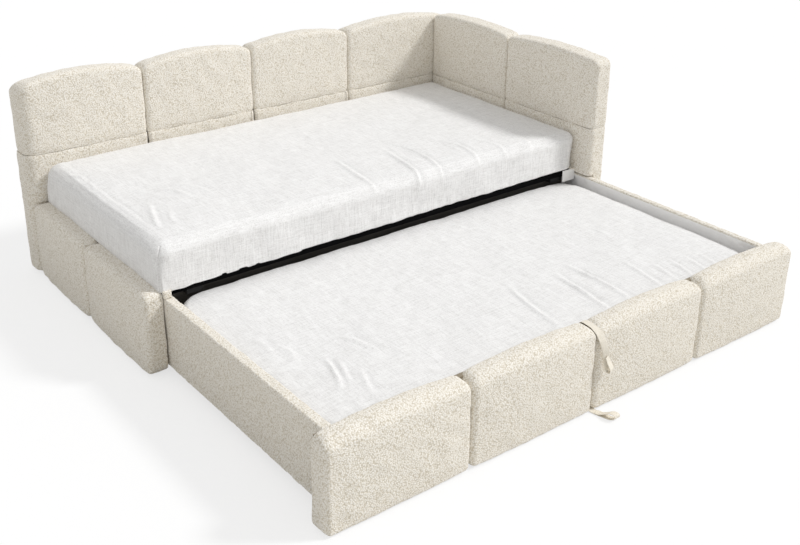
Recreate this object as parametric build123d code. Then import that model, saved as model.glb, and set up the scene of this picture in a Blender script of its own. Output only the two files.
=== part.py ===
from build123d import *
import math
import os

# Upholstered corner daybed with a pull-out trundle, in millimetres.
# X runs along the back, Y from front to back, Z up from the floor.
# The origin is on the floor, midway along the overall width and the overall length
# with the trundle pulled out. The trundle closes by sliding towards +Y.

# Mattresses
MATTRESS_LENGTH = 1905.0
MATTRESS_WIDTH = 965.0
UPPER_MATTRESS_THICKNESS = 172.0
TRUNDLE_MATTRESS_THICKNESS = 168.0
UPPER_MATTRESS_CORNER = 60.0
TRUNDLE_MATTRESS_CORNER = 85.0
MATTRESS_WAIST = 5.0

# Heights of the daybed
DECK_HEIGHT = 314.0
SEAM_HEIGHT = 507.0
BACK_HEIGHT = 812.0
PAD_GROUND_GAP = 16.0

# Room round the upper mattress
MATTRESS_RAIL_GAP = 2.0
MATTRESS_WALL_GAP = 21.0
MATTRESS_REAR_GAP = 5.0
RAIL_END_LEAD = 7.0
WALL_END_LEAD = 77.0

# Thickness of the three upholstered sides of the daybed
BACK_DEPTH = 112.0
WALL_THICKNESS = 90.0
LOW_RAIL_THICKNESS = 66.0
BACK_END_INSET = 4.0

# Upholstered segments
BACK_PITCH = 500.0
WALL_FIRST_PAD = 515.0
LOW_RAIL_FIRST_PAD = 476.0
PAD_GAP = 1.0
SEAM_GAP = 1.0
BACK_PAD_EDGE = 24.0
BACK_PAD_CORNER = 22.0
BACK_PAD_SEAM_CORNER = 12.0
BACK_PAD_CROWN = 8.0
BACK_PAD_RISE = 24.0
BACK_PAD_REAR_EDGE = 10.0
LOW_RAIL_EDGE = 26.0
LOW_RAIL_CORNER = 34.0
LOW_RAIL_CROWN = 10.0
LOW_RAIL_RISE = 6.0
LOW_RAIL_SAG = 12.0
LOW_RAIL_GROUND_GAP = 6.0
LOW_RAIL_CREST = 4.0
FRONT_PAD_EDGE = 26.0
FRONT_PAD_CORNER = 24.0
FRONT_PAD_CROWN = 10.0
FRONT_PAD_RISE = 12.0
FRONT_PAD_SAG = 10.0
FRONT_PAD_GROUND_GAP = 8.0
FRONT_PAD_TOP = 322.0
FRONT_PAD_DEPTH = 54.0
COVER_THICKNESS = 14.0
COVER_EDGE = 5.0
SKIRT_SETBACK = 6.0
WALL_SKIRT_RECESS = 34.0
SEAT_LIMIT_RISE = 2.0

# Timber frame inside the back and the wall
FOAM_DEPTH = 38.0
WALL_FOAM_DEPTH = 42.0
END_FOAM = 14.0
FRAME_TOP_DROP = 60.0
FRAME_GROUND_GAP = 22.0
FRAME_RAIL_HEIGHT = 45.0
POST_WIDTH = 60.0
BOARD_FIT = 0.3

# Low rail board
LOW_BOARD_THICKNESS = 20.0
LOW_BOARD_TOP_DROP = 24.0

# Slat deck of the daybed
SLAT_THICKNESS = 12.0
SLAT_WIDTH = 70.0
DECK_SLAT_COUNT = 14
FRONT_RAIL_DEPTH = 40.0
FRONT_RAIL_HEIGHT = 20.0
FRONT_RAIL_WALL = 2.5
END_PLATE = 4.0
END_PLATE_DROP = 30.0
END_SCREW_DROP = 16.0
END_SCREW_SPACING = 12.0
LEDGE_THICKNESS = 3.0
LEDGE_REACH = 28.0
LEDGE_UPSTAND = 12.0
LEDGER_DEPTH = 32.0
LEDGER_HEIGHT = 40.0
SLAT_END_GAP = 2.0
DECK_SIDE_MARGIN = 30.0

# Trundle box
TRUNDLE_OVERLAP = 105.0
OPEN_TRAVEL = MATTRESS_WIDTH - TRUNDLE_OVERLAP
CLOSED_GAP = 4.0
FRONT_BOARD_THICKNESS = 18.0
FRONT_BOARD_TOP = 296.0
FRONT_BOARD_BOTTOM = 30.0
FRONT_END_FOAM = 16.0
FRONT_LEFT_INSET = 16.0
FRONT_RIGHT_INSET = 4.0
FRONT_PAD_REAR_EDGE = 8.0
FRONT_PAD_COUNT = 4
TRUNDLE_SIDE_GAP = 6.0
SIDE_BOARD_THICKNESS = 14.0
SIDE_COVER_OUTER = 4.0
SIDE_COVER_INNER = 2.0
SIDE_COVER_TOP = 6.0
SIDE_TOP_DROP = 24.0
SIDE_BOTTOM = 33.0
REAR_PANEL_THICKNESS = 15.0
REAR_PANEL_TOP_DROP = 34.0
REAR_PANEL_BOTTOM = 45.0
TRUNDLE_FRONT_GAP = 3.0
TRUNDLE_REAR_GAP = 30.0
TRUNDLE_DECK_HEIGHT = 92.0
CROSS_BEAM_DEPTH = 60.0
CROSS_BEAM_HEIGHT = 23.0
TRUNDLE_SLAT_COUNT = 12
STOP_LENGTH = 60.0
STOP_DEPTH = 36.0
STOP_HEIGHT = 24.0
STOP_INSET = 70.0
STOP_GAP = 0.3

# Casters
WHEEL_RADIUS = 22.0
WHEEL_WIDTH = 20.0
WHEEL_EDGE = 3.0
WHEEL_DISH = 2.0
WHEEL_DISH_RADIUS = 13.0
AXLE_RADIUS = 4.0
AXLE_RUNNING_FIT = 0.06
AXLE_HEAD = 2.0
AXLE_HEAD_RADIUS = 6.5
FORK_CHEEK = 3.0
FORK_SIDE_GAP = 1.5
FORK_WIDTH = 26.0
FORK_PLATE = 3.0
FORK_PLATE_SIZE = 54.0
CASTER_INSET = 190.0
CASTER_SCREW_SPACING = 40.0

# Fasteners, brackets and feet
SCREW_RADIUS = 3.0
SCREW_HEAD_RADIUS = 5.5
SCREW_HEAD_HEIGHT = 3.0
SCREW_FIT = 0.2
SCREW_BITE = 14.0
CASTER_SCREW_RADIUS = 2.0
CASTER_SCREW_HEAD_RADIUS = 4.0
CASTER_SCREW_HEAD_HEIGHT = 2.0
CASTER_SCREW_LENGTH = 15.0
LEDGER_SCREW_COUNT = 7
BRACKET_LEG = 32.0
BRACKET_THICKNESS = 3.0
BRACKET_HEIGHT = 40.0
BRACKET_SCREW_MARGIN = 12.0
CORNER_BLOCK = 40.0
BLOCK_SCREW_MARGIN = 13.0
BLOCK_SCREW_LOW = 17.0
BLOCK_SCREW_HIGH = 6.5
SIDE_SCREW_BITE = 10.0
FOOT_RADIUS = 8.0
BUMPER_RADIUS = 10.0
BUMPER_THICKNESS = 3.5
BUMPER_HEIGHT = 160.0
BUMPER_RISE = 90.0

# Pull straps of flat webbing
STRAP_WIDTH = 25.0
STRAP_THICKNESS = 2.0
STRAP_SEAT_GAP = 0.3
STRAP_FACE_SINK = 2.0
STRAP_SHOULDER_SINK = 1.0
STRAP_GROOVE_RISE = 2.5
UPPER_STRAP_DROP = 150.0
UPPER_LOOP_DEPTH = 22.0
UPPER_LOOP_CHEEK = 14.0
UPPER_LOOP_NECK = 42.0
UPPER_LOOP_SEWN = 26.0
LOWER_STRAP_REACH = 92.0
LOWER_STRAP_FLOOR_GAP = 1.0
LOWER_STRAP_LANDING = 2.0
LOWER_LOOP_HEIGHT = 18.0
LOWER_LOOP_BACK = 30.0
LOWER_LOOP_NECK = 54.0
LOWER_LOOP_SEWN = 22.0
LOOP_RADIUS = 7.0
STRAP_BEND_RADIUS = 5.0
STRAP_PLATE_WIDTH = 46.0
STRAP_PLATE_HEIGHT = 18.0
STRAP_PLATE_THICKNESS = 2.0
UPPER_PLATE_DROP = 24.0
LOWER_PLATE_RISE = 3.0
STRAP_SCREW_SPACING = 36.0

OVERRUN = 5.0

# Places along X
OVERALL_WIDTH = (
    LOW_RAIL_THICKNESS + MATTRESS_RAIL_GAP + MATTRESS_LENGTH + MATTRESS_WALL_GAP + WALL_THICKNESS
)
X_LEFT = -OVERALL_WIDTH / 2
X_RIGHT = OVERALL_WIDTH / 2
RAIL_INNER_X = X_LEFT + LOW_RAIL_THICKNESS
WALL_INNER_X = X_RIGHT - WALL_THICKNESS
WALL_LOWER_X = WALL_INNER_X + WALL_SKIRT_RECESS
BACK_LEFT_X = X_LEFT + BACK_END_INSET
FRONT_LEFT_X = X_LEFT + FRONT_LEFT_INSET
FRONT_RIGHT_X = X_RIGHT - FRONT_RIGHT_INSET
UPPER_MATTRESS_X = RAIL_INNER_X + MATTRESS_RAIL_GAP
TRUNDLE_LEFT_X = RAIL_INNER_X + TRUNDLE_SIDE_GAP
TRUNDLE_RIGHT_X = WALL_LOWER_X - TRUNDLE_SIDE_GAP
SIDE_THICKNESS = SIDE_COVER_OUTER + SIDE_BOARD_THICKNESS + SIDE_COVER_INNER
TRUNDLE_INNER_LEFT_X = TRUNDLE_LEFT_X + SIDE_THICKNESS
TRUNDLE_INNER_RIGHT_X = TRUNDLE_RIGHT_X - SIDE_THICKNESS

# Places along Y
OPEN_LENGTH = (
    BACK_DEPTH
    + MATTRESS_REAR_GAP
    + MATTRESS_WIDTH
    + RAIL_END_LEAD
    + WALL_END_LEAD
    + CLOSED_GAP
    + OPEN_TRAVEL
    + FRONT_BOARD_THICKNESS
    + FRONT_PAD_DEPTH
)
REAR_Y = (OPEN_LENGTH + LOWER_STRAP_REACH) / 2
BACK_FRONT_Y = REAR_Y - BACK_DEPTH
UPPER_MATTRESS_REAR_Y = BACK_FRONT_Y - MATTRESS_REAR_GAP
UPPER_MATTRESS_FRONT_Y = UPPER_MATTRESS_REAR_Y - MATTRESS_WIDTH
RAIL_END_Y = UPPER_MATTRESS_FRONT_Y - RAIL_END_LEAD
WALL_END_Y = RAIL_END_Y - WALL_END_LEAD
BOARD_BACK_Y = WALL_END_Y - CLOSED_GAP - OPEN_TRAVEL
BOARD_FRONT_Y = BOARD_BACK_Y - FRONT_BOARD_THICKNESS
TRUNDLE_FRONT_Y = BOARD_FRONT_Y - FRONT_PAD_DEPTH
REAR_PANEL_Y = BOARD_BACK_Y + TRUNDLE_FRONT_GAP + MATTRESS_WIDTH + TRUNDLE_REAR_GAP
SKIRT_FRONT_Y = BACK_FRONT_Y + SKIRT_SETBACK

# Heights
SEAT_LIMIT = DECK_HEIGHT + SEAT_LIMIT_RISE
FRAME_TOP = BACK_HEIGHT - FRAME_TOP_DROP
SLAT_BOTTOM = DECK_HEIGHT - SLAT_THICKNESS
SIDE_TOP = DECK_HEIGHT - SIDE_TOP_DROP
REAR_PANEL_TOP = DECK_HEIGHT - REAR_PANEL_TOP_DROP
TRUNDLE_SLAT_BOTTOM = TRUNDLE_DECK_HEIGHT - SLAT_THICKNESS
CROSS_BEAM_BOTTOM = TRUNDLE_SLAT_BOTTOM - CROSS_BEAM_HEIGHT


def block(x0, x1, y0, y1, z0, z1):
    """A box between two corners."""
    centre = Location(((x0 + x1) / 2, (y0 + y1) / 2, (z0 + z1) / 2))
    return centre * Box(x1 - x0, y1 - y0, z1 - z0)


def rod(radius, start, direction, length):
    """A round bar of one radius from a start point along a direction."""
    return Plane(origin=start, z_dir=direction) * Cylinder(
        radius, length, align=(Align.CENTER, Align.CENTER, Align.MIN)
    )


def screw(start, direction, length, radius, head_radius, head_height):
    """A headed screw: start is under the head, direction runs along the shank."""
    back = tuple(-d for d in direction)
    return rod(radius, start, direction, length) + rod(head_radius, start, back, head_height)


def pad_outline(width, height, top_radius, bottom_radius, rise, sag):
    """The front view of a pad: straight sides, a domed top, a bowed bottom, round corners.
    Its lowest point is at zero and it is centred on the vertical."""
    half = width / 2
    low = sag
    high = height - rise
    bow = math.sqrt(0.5)
    corner = [
        ((half, low + bottom_radius), (half - bottom_radius * (1 - bow), low + bottom_radius * (1 - bow)),
         (half - bottom_radius, low)),
        ((-half + bottom_radius, low), (-half + bottom_radius * (1 - bow), low + bottom_radius * (1 - bow)),
         (-half, low + bottom_radius)),
        ((-half, high - top_radius), (-half + top_radius * (1 - bow), high - top_radius * (1 - bow)),
         (-half + top_radius, high)),
        ((half - top_radius, high), (half - top_radius * (1 - bow), high - top_radius * (1 - bow)),
         (half, high - top_radius)),
    ]
    arcs = [ThreePointArc(*points) for points in corner]
    if sag:
        bottom = ThreePointArc(corner[0][2], (0, 0), corner[1][0])
    else:
        bottom = Line(corner[0][2], corner[1][0])
    if rise:
        top = ThreePointArc(corner[2][2], (0, height), corner[3][0])
    else:
        top = Line(corner[2][2], corner[3][0])
    left = Line(corner[1][2], corner[2][0])
    right = Line(corner[3][2], corner[0][0])
    return make_face([arcs[0], bottom, arcs[1], left, arcs[2], top, arcs[3], right])


EDGE_ANGLES = (90, 60, 30, 0)
CROWN_SPREAD_SHARE = 0.25
CROWN_SHOULDER_SHARES = (0.45, 0.75)
CORNER_KEEP_SHARE = 0.5
MATTRESS_PROFILE_SHARES = (
    (0.0, 0.10),
    (0.10, 0.035),
    (0.28, 0.005),
    (0.50, 0.0),
    (0.70, 0.015),
    (0.84, 0.07),
    (0.93, 0.20),
    (0.975, 0.55),
    (1.0, 1.6),
)


def pad_profile(depth, edge, crown, rear_edge):
    """Depth and inset of each slice of a pad: a small round at the rear, the round front
    edge, then the crown, which rises slowly towards the middle of the face."""
    turns = [(1 - math.sin(math.radians(a)), 1 - math.cos(math.radians(a))) for a in EDGE_ANGLES]
    rows = [(rear_edge * out, rear_edge * inset) for out, inset in turns] if rear_edge else [(0, 0)]
    face = depth - crown
    return rows + [(face - edge * out, edge * inset) for out, inset in reversed(turns)]


def pad(plane, u0, u1, v0, v1, depth, edge, crown, radii, rise=0, sag=0, rear_edge=0):
    """A crowned cushion segment on a plane: u runs along it, v up, depth out of it."""
    width = u1 - u0
    height = v1 - v0
    rows = pad_profile(depth, edge, crown, rear_edge)
    spread = CROWN_SPREAD_SHARE * min(width, height)
    across, up = CROWN_SHOULDER_SHARES
    rows.append((depth - crown * (1 - up), edge + spread * across))
    rows.append((depth, edge + spread))
    slices = []
    for out, inset in rows:
        shrink = min(width, height) - 2 * inset
        keep = shrink / min(width, height)
        top_radius = max(radii[0] - CORNER_KEEP_SHARE * inset, radii[0] * (1 - CORNER_KEEP_SHARE))
        low_radius = max(radii[1] - CORNER_KEEP_SHARE * inset, radii[1] * (1 - CORNER_KEEP_SHARE))
        face = pad_outline(
            width - 2 * inset, height - 2 * inset, top_radius, low_radius, rise * keep, sag * keep
        )
        place = plane.offset(out) * Location(((u0 + u1) / 2, v0 + inset))
        slices.append(place * face)
    return loft(slices, ruled=True)


def mattress(x0, y0, z0, thickness, corner):
    """A mattress in a fitted sheet: sides drawn in between the corners and at the bottom
    hem, swelling at mid height, with a round shoulder and a low crown on top."""
    slices = []
    bow = math.sqrt(0.5)
    for up_share, inset_share in MATTRESS_PROFILE_SHARES:
        inset = inset_share * thickness
        half_x = MATTRESS_LENGTH / 2 - inset
        half_y = MATTRESS_WIDTH / 2 - inset
        r = corner
        k = r * (1 - bow)
        edges = []
        for sx, sy in ((1, 1), (-1, 1), (-1, -1), (1, -1)):
            ends = ((sx * half_x, sy * (half_y - r)), (sx * (half_x - r), sy * half_y))
            middle = (sx * (half_x - k), sy * (half_y - k))
            if sx * sy < 0:
                ends = (ends[1], ends[0])
            edges.append((ends[0], middle, ends[1]))
        waists = (
            (0, half_y - MATTRESS_WAIST),
            (-half_x + MATTRESS_WAIST, 0),
            (0, -half_y + MATTRESS_WAIST),
            (half_x - MATTRESS_WAIST, 0),
        )
        lines = []
        for i, arc in enumerate(edges):
            lines.append(ThreePointArc(*arc))
            lines.append(ThreePointArc(arc[2], waists[i], edges[(i + 1) % len(edges)][0]))
        height = z0 + up_share * thickness
        centre = (x0 + MATTRESS_LENGTH / 2, y0 + MATTRESS_WIDTH / 2, height)
        slices.append(Location(centre) * make_face(lines))
    return loft(slices, ruled=True)


# Planes of the upholstered faces: the plane's X runs along the face, its Y goes up
BACK_PLANE = Plane(origin=(BACK_LEFT_X, REAR_Y, 0), x_dir=(1, 0, 0), z_dir=(0, -1, 0))
WALL_PLANE = Plane(origin=(X_RIGHT, BACK_FRONT_Y, 0), x_dir=(0, -1, 0), z_dir=(-1, 0, 0))
LOW_RAIL_PLANE = Plane(origin=(RAIL_INNER_X, SKIRT_FRONT_Y, 0), x_dir=(0, -1, 0), z_dir=(-1, 0, 0))
FRONT_PLANE = Plane(origin=(FRONT_LEFT_X, BOARD_BACK_Y, 0), x_dir=(1, 0, 0), z_dir=(0, -1, 0))

BACK_LENGTH = X_RIGHT - BACK_LEFT_X
WALL_LENGTH = BACK_FRONT_Y - WALL_END_Y
LOW_RAIL_LENGTH = SKIRT_FRONT_Y - RAIL_END_Y
FRONT_LENGTH = FRONT_RIGHT_X - FRONT_LEFT_X

BACK_STARTS = [0, BACK_PITCH, BACK_PITCH * 2, BACK_PITCH * 3, BACK_LENGTH]
WALL_STARTS = [0, WALL_FIRST_PAD, WALL_LENGTH]
LOW_RAIL_STARTS = [0, LOW_RAIL_FIRST_PAD, LOW_RAIL_LENGTH]
FRONT_STARTS = [FRONT_LENGTH * i / FRONT_PAD_COUNT for i in range(FRONT_PAD_COUNT + 1)]

# Frame envelopes
BACK_FRAME_X0 = BACK_LEFT_X + END_FOAM
BACK_FRAME_X1 = X_RIGHT - END_FOAM
BACK_FRAME_Y0 = BACK_FRONT_Y + FOAM_DEPTH
BACK_FRAME_Y1 = REAR_Y - COVER_THICKNESS
WALL_FRAME_X0 = WALL_INNER_X + WALL_FOAM_DEPTH
WALL_FRAME_X1 = X_RIGHT - COVER_THICKNESS
WALL_FRAME_Y0 = WALL_END_Y + END_FOAM
WALL_FRAME_Y1 = BACK_FRONT_Y - BOARD_FIT

parts = {}


def add(name, *shapes):
    """Keep a piece, or several like ones, under a node name."""
    parts[name] = Compound([solid for shape in shapes for solid in shape.solids()])


def pads(prefix, plane, starts, v0, v1, depth, edge, crown, radii, rise=0, sag=0, rear_edge=0):
    """A row of pads on one plane, from the list of where each starts along it."""
    row = []
    for i, (u0, u1) in enumerate(zip(starts, starts[1:])):
        shape = pad(
            plane, u0 + PAD_GAP / 2, u1 - PAD_GAP / 2, v0, v1, depth, edge, crown, radii,
            rise, sag, rear_edge,
        )
        row.append((f"{prefix}_{i + 1}", shape))
    return row


# Back: padded segments round a timber frame, closed behind by one cover
back_pocket = block(
    BACK_FRAME_X0 - BOARD_FIT, BACK_FRAME_X1 + BOARD_FIT,
    BACK_FRAME_Y0 - BOARD_FIT, REAR_Y + OVERRUN,
    -OVERRUN, FRAME_TOP + BOARD_FIT,
)
for name, shape in pads(
    "back_upper_pad", BACK_PLANE, BACK_STARTS, SEAM_HEIGHT + SEAM_GAP / 2, BACK_HEIGHT, BACK_DEPTH,
    BACK_PAD_EDGE, BACK_PAD_CROWN, (BACK_PAD_CORNER, BACK_PAD_SEAM_CORNER), BACK_PAD_RISE,
    rear_edge=BACK_PAD_REAR_EDGE,
):
    add(name, shape - back_pocket)
for name, shape in pads(
    "back_lower_pad", BACK_PLANE, BACK_STARTS, SEAT_LIMIT, SEAM_HEIGHT - SEAM_GAP / 2, BACK_DEPTH,
    BACK_PAD_EDGE, BACK_PAD_CROWN, (BACK_PAD_SEAM_CORNER, BACK_PAD_SEAM_CORNER),
    rear_edge=BACK_PAD_REAR_EDGE,
):
    add(name, shape - back_pocket)

BACK_TIMBER = (BACK_FRAME_Y1 - BACK_FRAME_Y0) / 2
RAIL_LEVELS = (
    FRAME_GROUND_GAP,
    DECK_HEIGHT - FRAME_RAIL_HEIGHT,
    SEAM_HEIGHT - FRAME_RAIL_HEIGHT / 2,
    FRAME_TOP - FRAME_RAIL_HEIGHT,
)
back_rails = [
    block(BACK_FRAME_X0, BACK_FRAME_X1, BACK_FRAME_Y0, BACK_FRAME_Y0 + BACK_TIMBER, z, z + FRAME_RAIL_HEIGHT)
    for z in RAIL_LEVELS
]
back_post_x = (
    [BACK_FRAME_X0]
    + [BACK_LEFT_X + u - POST_WIDTH / 2 for u in BACK_STARTS[1:-1]]
    + [BACK_FRAME_X1 - POST_WIDTH]
)
back_posts = [
    block(x, x + POST_WIDTH, BACK_FRAME_Y1 - BACK_TIMBER, BACK_FRAME_Y1, FRAME_GROUND_GAP, FRAME_TOP)
    for x in back_post_x
]
back_skirt = block(
    BACK_LEFT_X, X_RIGHT, SKIRT_FRONT_Y, REAR_Y, PAD_GROUND_GAP, SEAT_LIMIT - SEAM_GAP
) - block(
    BACK_FRAME_X0 - BOARD_FIT, BACK_FRAME_X1 + BOARD_FIT, BACK_FRAME_Y0 - BOARD_FIT, REAR_Y + OVERRUN,
    -OVERRUN, SEAT_LIMIT + OVERRUN,
)
back_cover = block(
    BACK_FRAME_X0, BACK_FRAME_X1, BACK_FRAME_Y1 + BOARD_FIT, REAR_Y, PAD_GROUND_GAP, FRAME_TOP
)
back_cover = fillet(back_cover.edges().group_by(Axis.Y)[-1], COVER_EDGE)

# Wall at the right: the same build, two segments long
wall_pocket = block(
    WALL_FRAME_X0 - BOARD_FIT, X_RIGHT + OVERRUN,
    WALL_FRAME_Y0 - BOARD_FIT, BACK_FRONT_Y + OVERRUN,
    -OVERRUN, FRAME_TOP + BOARD_FIT,
)
for name, shape in pads(
    "wall_upper_pad", WALL_PLANE, WALL_STARTS, SEAM_HEIGHT + SEAM_GAP / 2, BACK_HEIGHT, WALL_THICKNESS,
    BACK_PAD_EDGE, BACK_PAD_CROWN, (BACK_PAD_CORNER, BACK_PAD_SEAM_CORNER), BACK_PAD_RISE,
    rear_edge=BACK_PAD_REAR_EDGE,
):
    add(name, shape - wall_pocket)
for name, shape in pads(
    "wall_lower_pad", WALL_PLANE, WALL_STARTS, SEAT_LIMIT, SEAM_HEIGHT - SEAM_GAP / 2, WALL_THICKNESS,
    BACK_PAD_EDGE, BACK_PAD_CROWN, (BACK_PAD_SEAM_CORNER, BACK_PAD_SEAM_CORNER),
    rear_edge=BACK_PAD_REAR_EDGE,
):
    add(name, shape - wall_pocket)

WALL_TIMBER = (WALL_FRAME_X1 - WALL_FRAME_X0) / 2
wall_rails = [
    block(WALL_FRAME_X0, WALL_FRAME_X0 + WALL_TIMBER, WALL_FRAME_Y0, WALL_FRAME_Y1, z, z + FRAME_RAIL_HEIGHT)
    for z in RAIL_LEVELS
]
wall_post_y = [
    WALL_FRAME_Y1 - POST_WIDTH,
    BACK_FRONT_Y - WALL_FIRST_PAD - POST_WIDTH / 2,
    WALL_FRAME_Y0,
]
wall_posts = [
    block(WALL_FRAME_X1 - WALL_TIMBER, WALL_FRAME_X1, y, y + POST_WIDTH, FRAME_GROUND_GAP, FRAME_TOP)
    for y in wall_post_y
]
wall_skirt = block(
    WALL_LOWER_X, X_RIGHT, WALL_END_Y, BACK_FRONT_Y, PAD_GROUND_GAP, SEAT_LIMIT - SEAM_GAP
)
wall_skirt = fillet(wall_skirt.edges().filter_by(Axis.Z).group_by(Axis.Y)[0], BACK_PAD_EDGE)
wall_skirt -= block(
    WALL_FRAME_X0 - BOARD_FIT, X_RIGHT + OVERRUN, WALL_FRAME_Y0 - BOARD_FIT, BACK_FRONT_Y + OVERRUN,
    -OVERRUN, SEAT_LIMIT + OVERRUN,
)
wall_cover = block(
    WALL_FRAME_X1 + BOARD_FIT, X_RIGHT, WALL_FRAME_Y0, WALL_FRAME_Y1, PAD_GROUND_GAP, FRAME_TOP
)
wall_cover = fillet(wall_cover.edges().group_by(Axis.X)[-1], COVER_EDGE)

# Low rail at the left: a board wrapped by two pillow-like pads
LOW_BOARD_TOP = DECK_HEIGHT - LOW_BOARD_TOP_DROP
low_pocket = block(
    RAIL_INNER_X - LOW_BOARD_THICKNESS - BOARD_FIT, RAIL_INNER_X + OVERRUN,
    RAIL_END_Y + END_FOAM - BOARD_FIT, BACK_FRONT_Y + BACK_DEPTH,
    -OVERRUN, LOW_BOARD_TOP + BOARD_FIT,
)
for name, shape in pads(
    "low_rail_pad", LOW_RAIL_PLANE, LOW_RAIL_STARTS, LOW_RAIL_GROUND_GAP, DECK_HEIGHT + LOW_RAIL_CREST,
    LOW_RAIL_THICKNESS, LOW_RAIL_EDGE, LOW_RAIL_CROWN, (LOW_RAIL_CORNER, LOW_RAIL_CORNER),
    LOW_RAIL_RISE, LOW_RAIL_SAG,
):
    add(name, shape - low_pocket)
low_rail_board = block(
    RAIL_INNER_X - LOW_BOARD_THICKNESS, RAIL_INNER_X, RAIL_END_Y + END_FOAM, SKIRT_FRONT_Y - BOARD_FIT,
    FRAME_GROUND_GAP, LOW_BOARD_TOP,
)

# Slat deck: steel front rail with a ledge, timber ledger behind, loose-laid slats
FRONT_RAIL_Y0 = UPPER_MATTRESS_FRONT_Y
FRONT_RAIL_Y1 = FRONT_RAIL_Y0 + FRONT_RAIL_DEPTH
FRONT_RAIL_BOTTOM = DECK_HEIGHT - FRONT_RAIL_HEIGHT
RAIL_X1 = WALL_LOWER_X - BOARD_FIT
front_rail = block(RAIL_INNER_X, RAIL_X1, FRONT_RAIL_Y0, FRONT_RAIL_Y1, FRONT_RAIL_BOTTOM, DECK_HEIGHT)
front_rail -= block(
    RAIL_INNER_X + END_PLATE, RAIL_X1 - END_PLATE,
    FRONT_RAIL_Y0 + FRONT_RAIL_WALL, FRONT_RAIL_Y1 - FRONT_RAIL_WALL,
    FRONT_RAIL_BOTTOM + FRONT_RAIL_WALL, DECK_HEIGHT - FRONT_RAIL_WALL,
)
for x in (RAIL_INNER_X, RAIL_X1 - END_PLATE):
    front_rail += block(
        x, x + END_PLATE, FRONT_RAIL_Y0, FRONT_RAIL_Y1,
        FRONT_RAIL_BOTTOM - END_PLATE_DROP, FRONT_RAIL_BOTTOM,
    )
slat_ledge = block(
    RAIL_INNER_X, RAIL_X1, FRONT_RAIL_Y1, FRONT_RAIL_Y1 + LEDGE_REACH,
    SLAT_BOTTOM - LEDGE_THICKNESS, SLAT_BOTTOM,
) + block(
    RAIL_INNER_X, RAIL_X1, FRONT_RAIL_Y1, FRONT_RAIL_Y1 + LEDGE_THICKNESS,
    SLAT_BOTTOM - LEDGE_THICKNESS, SLAT_BOTTOM + LEDGE_UPSTAND - LEDGE_THICKNESS,
)
LEDGER_Y0 = SKIRT_FRONT_Y - LEDGER_DEPTH
LEDGER_X0 = RAIL_INNER_X + SLAT_END_GAP
LEDGER_X1 = WALL_LOWER_X - SLAT_END_GAP
rear_ledger = block(LEDGER_X0, LEDGER_X1, LEDGER_Y0, SKIRT_FRONT_Y, SLAT_BOTTOM - LEDGER_HEIGHT, SLAT_BOTTOM)


def slats(count, x0, x1, y0, y1, z):
    """Evenly spaced slats that run from front to back."""
    step = (x1 - x0 - SLAT_WIDTH) / (count - 1)
    return [
        block(x0 + step * i, x0 + step * i + SLAT_WIDTH, y0, y1, z, z + SLAT_THICKNESS)
        for i in range(count)
    ]


deck_slats = slats(
    DECK_SLAT_COUNT, RAIL_INNER_X + DECK_SIDE_MARGIN, WALL_LOWER_X - DECK_SIDE_MARGIN,
    FRONT_RAIL_Y1 + LEDGE_THICKNESS + SLAT_END_GAP, SKIRT_FRONT_Y - SLAT_END_GAP, SLAT_BOTTOM,
)

# Stops under the front rail, which catch the trundle's rear panel when it is pulled out
STOP_Y1 = REAR_PANEL_Y - STOP_GAP
stop_starts = (
    TRUNDLE_INNER_LEFT_X + STOP_INSET,
    TRUNDLE_INNER_RIGHT_X - STOP_INSET - STOP_LENGTH,
)
stops = [
    block(
        x, x + STOP_LENGTH, STOP_Y1 - STOP_DEPTH, STOP_Y1,
        FRONT_RAIL_BOTTOM - STOP_HEIGHT, FRONT_RAIL_BOTTOM,
    )
    for x in stop_starts
]

# Corner brackets between the back and the two side pieces
BRACKET_Z0 = FRAME_GROUND_GAP + (FRAME_RAIL_HEIGHT - BRACKET_HEIGHT) / 2
BRACKET_Z1 = BRACKET_Z0 + BRACKET_HEIGHT


def corner_bracket(x, side):
    """An angle whose one leg is on the back and the other on the side piece; side is the
    direction into the bed."""
    ends = sorted((x, x + side * BRACKET_LEG))
    thin = sorted((x, x + side * BRACKET_THICKNESS))
    return block(
        ends[0], ends[1], SKIRT_FRONT_Y - BRACKET_THICKNESS, SKIRT_FRONT_Y, BRACKET_Z0, BRACKET_Z1
    ) + block(
        thin[0], thin[1], SKIRT_FRONT_Y - BRACKET_LEG, SKIRT_FRONT_Y, BRACKET_Z0, BRACKET_Z1
    )


brackets = [corner_bracket(RAIL_INNER_X, 1), corner_bracket(WALL_LOWER_X, -1)]

# Screws of the daybed: start under the head, direction, length to the tip
SKIRT_DEPTH = BACK_FRAME_Y0 - SKIRT_FRONT_Y
WALL_SKIRT_DEPTH = WALL_FRAME_X0 - WALL_LOWER_X
BRACKET_MID_Z = (BRACKET_Z0 + BRACKET_Z1) / 2
LEDGER_MID_Z = SLAT_BOTTOM - LEDGER_HEIGHT / 2
END_SCREW_Z = FRONT_RAIL_BOTTOM - END_SCREW_DROP
HEAD_SEAT = END_PLATE - SCREW_HEAD_HEIGHT
bracket_far = BRACKET_LEG - BRACKET_SCREW_MARGIN
ledger_step = (LEDGER_X1 - LEDGER_X0) / LEDGER_SCREW_COUNT
frame_screw_lines = [
    ((LEDGER_X0 + ledger_step * (i + 0.5), LEDGER_Y0, LEDGER_MID_Z), (0, 1, 0),
     LEDGER_DEPTH + SKIRT_DEPTH + SCREW_BITE)
    for i in range(LEDGER_SCREW_COUNT)
]
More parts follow.
